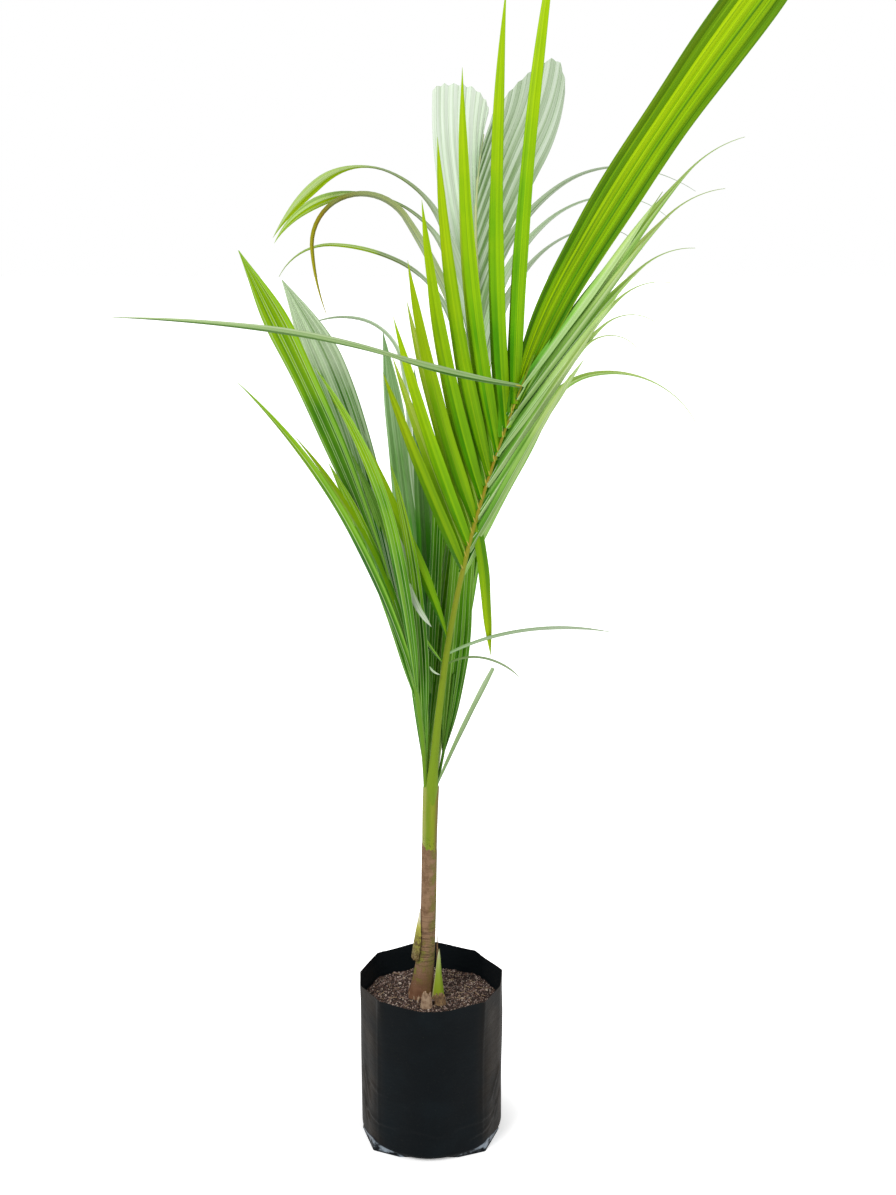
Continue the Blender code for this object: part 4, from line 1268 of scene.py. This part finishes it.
@dataclass
class SecondShoot:
    """The scale leaf, dry spike and torn husk at the right of the stem's foot."""

    scale_foot: tuple[float, float] = (0.0128, -0.0030)
    scale_length: float = 0.094
    scale_width: float = 0.011
    scale_rows: int = 56
    scale_sides: int = 32
    crown: RaggedStub = RaggedStub((0.0128, -0.0036), 0.01166, 0.60, 0.010, 0.0, 43, 0.8)
    spike_foot: tuple[float, float] = (0.0130, 0.0060)
    spike_length: float = 0.120
    spike_radii: tuple[float, ...] = (0.0024, 0.0022, 0.0018, 0.0004)
    front_stub: RaggedStub = RaggedStub((-0.0075, -0.0350), 0.0105, 0.7, 0.028, -8.0, 41, 1.0)
    right_stub: RaggedStub = RaggedStub((0.0165, -0.0240), 0.0105, 0.7, 0.020, -4.0, 42, 1.0)

    def build(self) -> None:
        """Builds the shoot's pieces."""
        tan, brown = HUSK_TAN.material(), HUSK_BROWN.material()
        self.build_scale()
        self.build_stub("scale_crown", self.crown, brown, ())
        self.build_spike(brown)
        self.build_stub("husk_front", self.front_stub, tan, ("husk_stub_front",))
        self.build_stub("husk_right", self.right_stub, brown, ("husk_stub_right",))

    def build_scale(self) -> None:
        """Builds the green scale leaf, folded round its own shoot."""
        share, turn = np.linspace(0.0, 1.0, self.scale_rows)[:, None], turns(self.scale_sides)
        foot = np.array((*self.scale_foot, SOIL_TOP + GAP))
        points = sweep(foot, self.scale_length, (0.0, 2.0), (0.0, -2.0), self.scale_rows - 1)
        width = self.scale_width * eased(Shape.SPEAR.value, share)
        keel = 1.0 + 0.10 * np.cos(turn + 0.5 * math.pi) ** 8
        ring = stacked(width * np.cos(turn), (width * 0.42 + 0.0004) * np.sin(turn) * keel, 0.0)
        pile = MeshPile("scale_blade")
        look = stacked(share, 0.5 + 0.5 * np.cos(turn), 0.5, 0.5 - 0.5 * np.sin(turn))
        pile.turned(points[:, None] + ring, look, 0.05, share[:, 0] * self.scale_length)
        pile.make([ScaleFinish().material()], "scale_green", ("scale_leaf",))

    def build_spike(self, brown: Material) -> None:
        """Builds the thin dry spike.

        Args:
            brown: Its finish.
        """
        start = np.array((*self.spike_foot, SOIL_TOP + GAP))
        points = sweep(start, self.spike_length, (-2.0, 0.0), (0.0, -2.0), 40)
        share = np.linspace(0.0, 1.0, 41)
        pile = MeshPile("dry_point")
        pile.rod(points, eased(self.spike_radii, share) * (1.0 + 0.06 * np.sin(share * 55.0)), 14, squash=0.6)
        pile.make([brown], "dry_husk", ("dry_spike",))

    def build_stub(self, name: str, stub: RaggedStub, material: Material, replaced: Sequence[str]) -> None:
        """Builds one torn stub of husk.

        Args:
            name: Name of the piece.
            stub: Its form.
            material: Its finish.
            replaced: Solids that it stands for.
        """
        pile = MeshPile(name)
        stub.add_to(pile)
        pile.make([material], "dry_husk", replaced)


class FilmFinish:
    """Black film with a soft sheen, browner and duller on the bag's sides, partly as painted sheen, with
    painted glossy highlights on its folded corners.
    """

    def material(self) -> Material:
        """Wires the film's material.

        Returns:
            The material, patterned by place on the bag.
        """
        w = Wiring("bag_black_film")
        _, side, corner, inside = w.look()
        cloud = w.cloud(16.0, 4.0, 0.55)
        wrinkle = w.noise(w.scaled(w.place(), (1.0, 1.0, 2.4)), 34.0, 5.0, 0.6)
        patch = w.step(w.noise(w.scaled(w.place(), (1.0, 1.0, 2.0)), 46.0, 3.0, 0.55), 0.40, 0.60)
        gleam = w.times(w.times(w.step(corner, 0.12, 0.30), w.step(corner, 0.96, 0.70)), patch)
        # Browner and lighter on the left and right sides, partly the film's tone and partly painted sheen.
        colour = w.mix(w.step(side, 0.45, 0.80), srgb("0c1114"), srgb("241d15"))
        colour = w.tint(colour, w.step(cloud, 0.4, 0.7), 0.5, "121a1e")
        colour = w.tint(colour, w.step(w.cloud(300.0, 2.0), 0.66, 0.74), 0.20, "3a362f")
        colour = w.tint(colour, w.step(corner, 0.0, 0.08), 1.0, "0d1216")
        # Painted highlight: pale blue-grey gleams in patches on the folded corners.
        colour = w.tint(colour, gleam, 0.80, "93a1ae")
        colour = w.tint(colour, inside, 1.0, "12171a")
        shine = w.maths("ADD", w.times(gleam, 0.6), w.times(side, 0.05))
        w.dress(colour, w.maths("SUBTRACT", w.level(cloud, 0.25, 0.34), w.times(gleam, 0.20)),
                w.maths("ADD", shine, 0.07))
        w.relief(wrinkle, 0.35, 0.004)
        return w.material


@dataclass(frozen=True)
class Wrinkle:
    """One soft crease in the film, from a turn in degrees and a height to another."""

    start: tuple[float, float]
    end: tuple[float, float]
    depth: float
    width: float

    def rise(self, turn: np.ndarray, height: np.ndarray, radius: float) -> np.ndarray:
        """Rise and dip of the wall across the crease.

        Args:
            turn: Turn about +Z, in radians.
            height: Height above the floor.
            radius: The bag's radius.

        Returns:
            How far the wall moves outward.
        """
        first, last = (np.array((math.radians(end[0]) * radius, end[1])) for end in (self.start, self.end))
        line = last - first
        length = float(np.hypot(*line))
        x, z = np.degrees(turn) % 360.0 * math.radians(1.0) * radius - first[0], height - first[1]
        place = (x * line[0] + z * line[1]) / length ** 2
        away = (x * line[1] - z * line[0]) / length + 0.002 * np.sin(place * 6.0)
        ends = limited(place * 5.0) * limited((1.0 - place) * 5.0)
        return self.depth * ends * (np.exp(-(away / self.width) ** 2)
                                    - 0.7 * np.exp(-((away - 1.6 * self.width) / self.width) ** 2))


@dataclass
class GrowBag:
    """The bag of film with its creased corners, folded foot and wrinkles."""

    half_width: float = 0.125
    half_depth: float = 0.118
    height: float = 0.291
    swell: float = 0.046
    foot_round: float = 0.012
    foot_shrink: float = 0.05
    film: float = 0.0008
    sides: int = 288
    rows: int = 92
    inner_rows: int = 26
    rim_waves: tuple[tuple[int, float, float], ...] = ((3, 0.7, 0.0022), (5, -1.1, 0.0013))
    rim_tilt: float = 0.002
    rim_spread: float = 1.018
    ear_height: float = 0.018
    ear_half_turn: float = 31.0
    ear_turns: tuple[float, ...] = (40.0, 140.0, 217.0, 322.0)
    foot_corners: tuple[float, ...] = (7.0, 41.0, 63.0, 117.0, 139.0, 173.0, 187.0, 220.0, 243.0, 294.5,
                                       317.6, 350.4)
    foot_reach: tuple[float, ...] = (0.1225, 0.1305, 0.1165, 0.1165, 0.1305, 0.1230, 0.1235, 0.1312, 0.1172,
                                     0.1155, 0.1292, 0.1222)
    rim_corners: tuple[float, ...] = (7.8, 51.2, 85.2, 106.6, 139.1, 172.1, 194.0, 228.0, 240.0, 252.0, 263.0,
                                      274.0, 284.0, 292.4, 316.3, 342.9)
    wrinkles: tuple[Wrinkle, ...] = (
        Wrinkle((188, 0.064), (246, 0.060), 0.0013, 0.004),
        Wrinkle((288, 0.056), (342, 0.072), 0.0011, 0.004),
        Wrinkle((250, 0.060), (286, 0.050), 0.0010, 0.005),
        Wrinkle((196, 0.150), (214, 0.080), 0.0020, 0.006),
        Wrinkle((190, 0.090), (212, 0.040), 0.0018, 0.005),
        Wrinkle((326, 0.086), (346, 0.150), 0.0020, 0.006),
        Wrinkle((330, 0.045), (350, 0.095), 0.0018, 0.005),
        Wrinkle((205, 0.125), (232, 0.120), 0.0010, 0.004),
        Wrinkle((300, 0.030), (330, 0.052), 0.0012, 0.004),
        Wrinkle((12, 0.070), (40, 0.110), 0.0018, 0.006),
        Wrinkle((60, 0.100), (100, 0.070), 0.0015, 0.005),
        Wrinkle((120, 0.060), (150, 0.100), 0.0016, 0.005),
        Wrinkle((150, 0.140), (176, 0.070), 0.0020, 0.006),
        Wrinkle((80, 0.190), (112, 0.170), 0.0010, 0.006))

    def swollen(self, turn: np.ndarray) -> tuple[np.ndarray, np.ndarray]:
        """The bag's ellipse with its swollen corners.

        Args:
            turn: Turn about +Z, in radians.

        Returns:
            The ellipse's distance from the axis, and the corners' share of the swell.
        """
        crease = np.maximum(0.0, -np.cos(4.0 * turn)) ** 2
        return 1.0 / np.hypot(np.cos(turn) / self.half_width, np.sin(turn) / self.half_depth), crease

    def radius(self, turn: np.ndarray, height: np.ndarray) -> np.ndarray:
        """Distance of the wall from the bag's axis.

        Args:
            turn: Turn about +Z, in radians.
            height: Height above the floor.

        Returns:
            The distances.
        """
        ellipse, crease = self.swollen(turn)
        near = np.degrees(turn % (math.pi / 2.0) - math.pi / 4.0)
        foot = np.maximum(0.0, 1.0 - height / self.foot_round) ** 1.6
        result = ellipse * (1.0 + self.swell * crease - self.foot_shrink * (1.0 - crease) * foot)
        result = result + 0.0012 * np.exp(-(near / 1.1) ** 2) * limited(height / 0.05)
        for wrinkle in self.wrinkles:
            result = result + wrinkle.rise(turn, height, self.half_width)
        billow = (0.0011 * np.sin(3.0 * turn + 9.0 * height)
                  + 0.0008 * np.sin(7.0 * turn - 21.0 * height + 1.0))
        result = result + billow * np.clip((self.height - height) / 0.06, 0.2, 1.0)
        edge = self.straight_edges(turn, self.foot_corners, self.foot_reach)
        lift = limited(1.0 - height / self.ear_rise(turn))
        result = result + (edge - result) * lift * (1.0 + 0.35 * (1.0 - lift) * np.sin(17.0 * turn))
        corner_ellipse, corner_crease = self.swollen(np.radians(self.rim_corners))
        rim = self.straight_edges(turn, self.rim_corners, (1.0 + self.swell * corner_crease) * corner_ellipse)
        blend = limited((height - 0.17) / (self.height - 0.18)) ** 2
        return result + (self.rim_spread * rim - ellipse * (1.0 + self.swell * crease)) * blend

    def straight_edges(self, turn: np.ndarray, corner_turns: Keys, reach: Keys) -> np.ndarray:
        """Distance from the axis of an outline of straight edges.

        Args:
            turn: Turn about +Z, in radians.
            corner_turns: Turns of the corners, in degrees.
            reach: Distance of each corner from the axis.

        Returns:
            The distances.
        """
        corners = np.radians(corner_turns)
        x, y = reach * np.cos(corners), reach * np.sin(corners)
        after = np.searchsorted(corners, np.mod(turn, FULL_TURN)) % len(corners)
        xa, ya = x[after - 1], y[after - 1]
        dx, dy = x[after] - xa, y[after] - ya
        return (xa * dy - ya * dx) / (np.cos(turn) * dy - np.sin(turn) * dx)

    def ear_rise(self, turn: np.ndarray) -> np.ndarray:
        """Height of the fold line: highest over the folded corners, low between them."""
        away = np.abs((np.degrees(turn)[..., None] - self.ear_turns + 180.0) % 360.0 - 180.0).min(axis=-1)
        return 0.005 + self.ear_height * limited(1.0 - away / self.ear_half_turn)

    def build(self) -> None:
        """Builds the bag as one closed cup of film."""
        turn = turns(self.sides, 0.5)
        waves = sum(size * np.cos(count * turn + phase) for count, phase, size in self.rim_waves)
        rim = self.height + waves + self.rim_tilt * np.sin(turn)
        outer = np.linspace(0.0, 1.0, self.rows)[:, None] ** 1.5
        inner = np.linspace(1.0, 0.78, self.inner_rows)[:, None]
        outer_radius = self.radius(turn, outer * rim)
        inner_radius = self.radius(turn, inner * rim) - self.film - 0.0006 * (1.0 - inner) / 0.22
        heights = np.concatenate((np.zeros((2, self.sides)), outer * rim, inner * rim))
        radii = np.concatenate((np.array((0.35, 0.75))[:, None] * outer_radius[:1], outer_radius,
                                inner_radius))
        rise = self.ear_rise(turn)
        folds = limited(1.0 - heights / rise) * limited((rise - 0.0055) / 0.003)
        look = stacked(heights / self.height, np.abs(np.cos(turn)) ** 1.5, folds, 0.0)
        look[-self.inner_rows:, :, 2] = 0.0
        look[1 - self.inner_rows:, :, 3] = 1.0
        run = np.concatenate((heights[:-self.inner_rows, 0], 0.6 - heights[-self.inner_rows:, 0]))
        pile = MeshPile("bag_film")
        pile.turned(around(radii, turn, heights), look, 0.78, run)
        pile.make([FilmFinish().material()], "bag_film", ("grow_bag",), 34.0)


@dataclass(frozen=True)
class SoilFinish:
    """Dark crumbly soil in one base colour, with fine grains."""

    name: str
    dark: str
    light: str

    def material(self) -> Material:
        """Wires the soil's material.

        Returns:
            The material, patterned by place.
        """
        w = Wiring(self.name)
        grains = w.cloud(620.0, 4.0, 0.7)
        colour = w.mix(w.step(grains, 0.38, 0.68), srgb(self.dark), srgb(self.light))
        w.dress(w.tint(colour, w.step(w.cloud(120.0), 0.45, 0.7), 0.4, self.dark), 0.93)
        w.relief(grains, 0.9, 0.0016)
        return w.material


@dataclass
class PottingSoil:
    """The soil bed with its loose crumbs, pale flecks and bits of straw."""

    bag: GrowBag
    waves: tuple[tuple[float, float, float], ...] = ((173.0, 96.0, 1.3), (-118.0, 151.0, 0.4),
                                                     (311.0, -263.0, 0.0))
    wall_height: float = 0.245
    skirt_height: float = 0.226
    sides: int = 192
    rows: int = 46
    lump: float = 0.0028
    stem_foot: tuple[float, float] = (-0.019, 0.010)
    stem_clear: float = 0.0215
    crumbs: int = 9800
    crumb_finishes: tuple[SoilFinish, ...] = (
        SoilFinish("crumb_dark", "291b15", "4e3a2f"), SoilFinish("crumb_brown", "5e4538", "927461"),
        SoilFinish("crumb_purple", "86706a", "b49c92"), SoilFinish("crumb_pale", "bca898", "e6d8ca"))
    crumb_chances: tuple[float, ...] = (0.33, 0.29, 0.25, 0.13)
    straws: int = 110
    straw_reach: float = 0.116

    def top(self, x: np.ndarray, y: np.ndarray) -> np.ndarray:
        """Height of the soil's surface at a place.

        Args:
            x: Places along +X.
            y: Places along +Y.

        Returns:
            The heights.
        """
        waves = sum(np.sin(a * x + b * y + c) for a, b, c in self.waves)
        away = np.hypot(x, y)
        lumps = self.lump * (0.5 + 0.5 * waves / 3.0) * limited(away / 0.06)
        return SOIL_TOP - lumps - 0.003 * limited((away - 0.10) / 0.018)

    def build(self) -> None:
        """Builds the bed, the crumbs and the straw."""
        self.build_bed()
        self.build_crumbs()
        self.build_straw()

    def build_bed(self) -> None:
        """Builds the soil's bed down to below the rim's reach."""
        rng = np.random.default_rng(51)
        turn = turns(self.sides, 0.5)
        wall = self.bag.radius(turn, np.full_like(turn, self.wall_height)) - 0.0024
        share = np.linspace(0.02, 1.0, self.rows)[:, None]
        rings = around(wall * share, turn, 0.0)
        rings[..., 2] = self.top(rings[..., 0], rings[..., 1]) + rng.normal(0.0, 0.0005, rings.shape[:2])
        rings = np.concatenate((rings, around(wall, turn, self.skirt_height)))
        pile = MeshPile("soil_bed")
        pile.turned(rings, np.full((*rings.shape[:2], 4), 0.5), 0.7, np.append(share[:, 0], 1.2) * 0.12)
        pile.make([SoilFinish("soil_dark", "241812", "4a342b").material()], "soil", ("potting_soil",), 60.0)

    def scatter(self, count: int, rng: np.random.Generator) -> np.ndarray:
        """Chance places on the soil, clear of the bag's wall and the stem.

        Args:
            count: Number of places to try.
            rng: Source of chance.

        Returns:
            The places that are clear.
        """
        turn = rng.uniform(0.0, FULL_TURN, count)
        wall = self.bag.radius(turn, np.full(count, self.wall_height)) - 0.004
        radius = wall * np.sqrt(rng.uniform(0.0, 1.0, count))
        x, y = radius * np.cos(turn), radius * np.sin(turn)
        clear = np.hypot(x - self.stem_foot[0], y - self.stem_foot[1]) > self.stem_clear
        return stacked(x, y, self.top(x, y))[clear]

    def build_crumbs(self) -> None:
        """Builds the loose crumbs as one piece in plain base colours."""
        rng = np.random.default_rng(52)
        places = self.scatter(self.crumbs, rng)
        ball = bmesh.new()
        bmesh.ops.create_icosphere(ball, subdivisions=1, radius=1.0)
        base = np.array([vertex.co[:] for vertex in ball.verts])
        faces = np.array([[vertex.index for vertex in face.verts] for face in ball.faces])
        ball.free()
        size = rng.gamma(2.2, 0.00024, len(places)) + 0.00045
        shape = base[None] * rng.uniform(0.65, 1.25, (len(places), len(base), 1))
        shape = shape * rng.uniform(0.6, 1.3, (len(places), 1, 3)) * size[:, None, None]
        points = (places[:, None] + shape + UP * (size * 0.35)[:, None, None]).reshape(-1, 3)
        all_faces = (faces[None] + (np.arange(len(places)) * len(base))[:, None, None]).reshape(-1, 3)
        mesh = bpy.data.meshes.new("soil_crumbs")
        mesh.from_pydata(points, [], all_faces.tolist())
        for finish in self.crumb_finishes:
            mesh.materials.append(finish.material())
        kinds = rng.choice(4, len(places), p=self.crumb_chances)
        mesh.polygons.foreach_set("material_index", np.repeat(kinds, len(faces)).astype(np.int32))
        mesh.update()
        piece = placed("soil_crumbs", mesh)
        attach(piece, "root")
        log.info("soil_crumbs: %d crumbs", len(places))

    def build_straw(self) -> None:
        """Builds the bits of straw and root lying on the soil."""
        rng = np.random.default_rng(53)
        pile = MeshPile("soil_straw")
        s = np.linspace(-0.5, 0.5, 7)[:, None]
        for place in self.scatter(self.straws, rng):
            turn, length = rng.uniform(0.0, FULL_TURN), rng.uniform(0.004, 0.015)
            out, side = around(1.0, turn, 0.0), around(1.0, turn + 0.5 * math.pi, 0.0)
            bend = rng.uniform(-0.35, 0.35) * length
            points = (place + UP * 0.0022 + out * s * length + side * bend * s ** 2
                      + UP * rng.uniform(-0.2, 0.25) * length * s)
            points = points[np.hypot(points[:, 0], points[:, 1]) < self.straw_reach]
            if len(points) > 3:
                pile.rod(points, np.full(len(points), rng.uniform(0.0003, 0.0007)), 6, rng.random())
        pile.make([STRAW.material()], "dry_husk")


@dataclass
class Strips:
    """The narrow strip beside the petioles and the small curled leaves in front of the collar."""

    strip_foot: tuple[float, float] = (0.0098, -0.0085)
    strip: Leaf = Leaf(0.0, 0.238, 0.0088, (20, 23.5, 26), (8, 4), (-40, 10), 1, Shape.STRIP, Tone.DULL)
    crescent: Leaf = Leaf(0.0, 0.080, 0.010, (168, 160, 148, 140), (4, -2), (30, -10), 1, Shape.LANCE,
                          Tone.PALE)
    crescent_root: tuple[float, float, float] = (-0.031, -0.075, 1.018)
    curl: Leaf = Leaf(0.0, 0.023, 0.0034, (158, 128, 104), (0, 0), (0,), 1, Shape.LANCE, Tone.PALE)
    curl_root: tuple[float, float, float] = (0.0000, -0.034, 0.868)

    def build(self, stem_top: np.ndarray, materials: Materials) -> None:
        """Builds the strip and the small leaves.

        Args:
            stem_top: Middle of the stem's top.
            materials: Materials of the tones.
        """
        rng = np.random.default_rng(61)
        pile = MeshPile("strip_leaf")
        self.strip.add_to(pile, stem_top + np.array((*self.strip_foot, GAP)), 0, rng)
        pile.make([materials[self.strip.tone]], "leaf_back", ("leaf_strip",))
        small = MeshPile("small_leaves")
        for leaf, root in ((self.crescent, self.crescent_root), (self.curl, self.curl_root)):
            leaf.add_to(small, np.array(root), 0, rng)
        small.make([materials[self.curl.tone]], "leaf_back")


@dataclass
class Studio:
    """The pale floor, the soft light and the camera at the photograph's angle."""

    camera_place: tuple[float, float, float] = (0.030, -2.44, 1.585)
    camera_tilt: float = 76.0
    lens: float = 45.91
    sensor: float = 36.0
    half_floor: float = 40.0
    floor_depth: float = 0.0004
    world_light: float = 0.58
    lamps: tuple[tuple[str, tuple[float, float, float], float, float], ...] = (
        ("key", (-2.2, -2.8, 4.0), 2.0, 120.0), ("fill", (3.0, -1.5, 2.2), 2.5, 30.0))
    lamp_aim: tuple[float, float, float] = (0.0, 0.0, 1.1)

    def build(self) -> None:
        """Builds the floor, the lights, the surroundings and the camera."""
        self.build_floor()
        self.build_light()
        camera = bpy.data.cameras.new("camera")
        camera.lens, camera.sensor_width, camera.sensor_fit = self.lens, self.sensor, "AUTO"
        bpy.context.scene.camera = placed("camera", camera, self.camera_place,
                                          (math.radians(self.camera_tilt), 0.0, 0.0))

    def build_floor(self) -> None:
        """Builds the pale floor as part of the stage, with its shadow only round the bag."""
        mesh = bpy.data.meshes.new("floor")
        corners = [(x * self.half_floor, y * self.half_floor, -self.floor_depth)
                   for x, y in ((-1, -1), (1, -1), (1, 1), (-1, 1))]
        mesh.from_pydata(corners, [], [(0, 1, 2, 3)])
        w = Wiring("floor_white")
        w.dress(w.mix(w.cloud(3.0, 2.0, 0.5), srgb("f6f6f6"), srgb("f9f9f9")), 0.9, 0.1)
        away = w.node("ShaderNodeVectorMath", {0: w.place()}, operation="LENGTH").outputs["Value"]
        seen = w.node("ShaderNodeLightPath", {}).outputs["Is Camera Ray"]
        glow = w.times(w.times(w.step(away, 0.105, 0.27), seen), 0.60)
        w.feed(w.shader.inputs["Emission Color"], WHITE)
        w.feed(w.shader.inputs["Emission Strength"], w.maths("ADD", glow, w.times(seen, 0.34)))
        mesh.materials.append(w.material)
        placed("floor", mesh)

    def build_light(self) -> None:
        """Builds the white surroundings and the two soft lamps."""
        world = bpy.data.worlds.new("studio")
        bpy.context.scene.world = world
        world.use_nodes = True
        nodes, links = world.node_tree.nodes, world.node_tree.links
        back, path = nodes["Background"], nodes.new("ShaderNodeLightPath")
        level = nodes.new("ShaderNodeMapRange")
        back.inputs["Color"].default_value = WHITE
        level.inputs[3].default_value, level.inputs[4].default_value = self.world_light, 1.0
        links.new(path.outputs["Is Camera Ray"], level.inputs[0])
        links.new(level.outputs[0], back.inputs["Strength"])
        for name, place, size, power in self.lamps:
            lamp = bpy.data.lights.new(name, "AREA")
            lamp.shape, lamp.size, lamp.energy = "DISK", size, power
            aim = np.array(self.lamp_aim) - place
            tilt = math.acos(-aim[2] / float(np.linalg.norm(aim)))
            yaw = math.atan2(aim[1], aim[0]) - 0.5 * math.pi
            placed(name, lamp, place, (tilt, 0.0, yaw))
        bpy.context.scene.view_settings.view_transform = "Standard"


def main() -> None:
    """Builds every part of the palm, its bag and the studio, in order."""
    logging.basicConfig(level=logging.INFO, format="%(message)s")
    ribs = (RIB_ORANGE, RIB_GREEN, RIB_DARK, RIB_PALE, LEAFLET_ROOT)
    materials: Materials = {finish: finish.material() for finish in (*Tone, *ribs)}
    bag = GrowBag()
    bag.build()
    PottingSoil(bag).build()
    stem = Stem()
    stem.build()
    SecondShoot().build()
    for frond in FRONDS:
        frond.build(stem.centre[-1], materials)
    Strips().build(stem.centre[-1], materials)
    Studio().build()


if __name__ == "__main__":
    main()
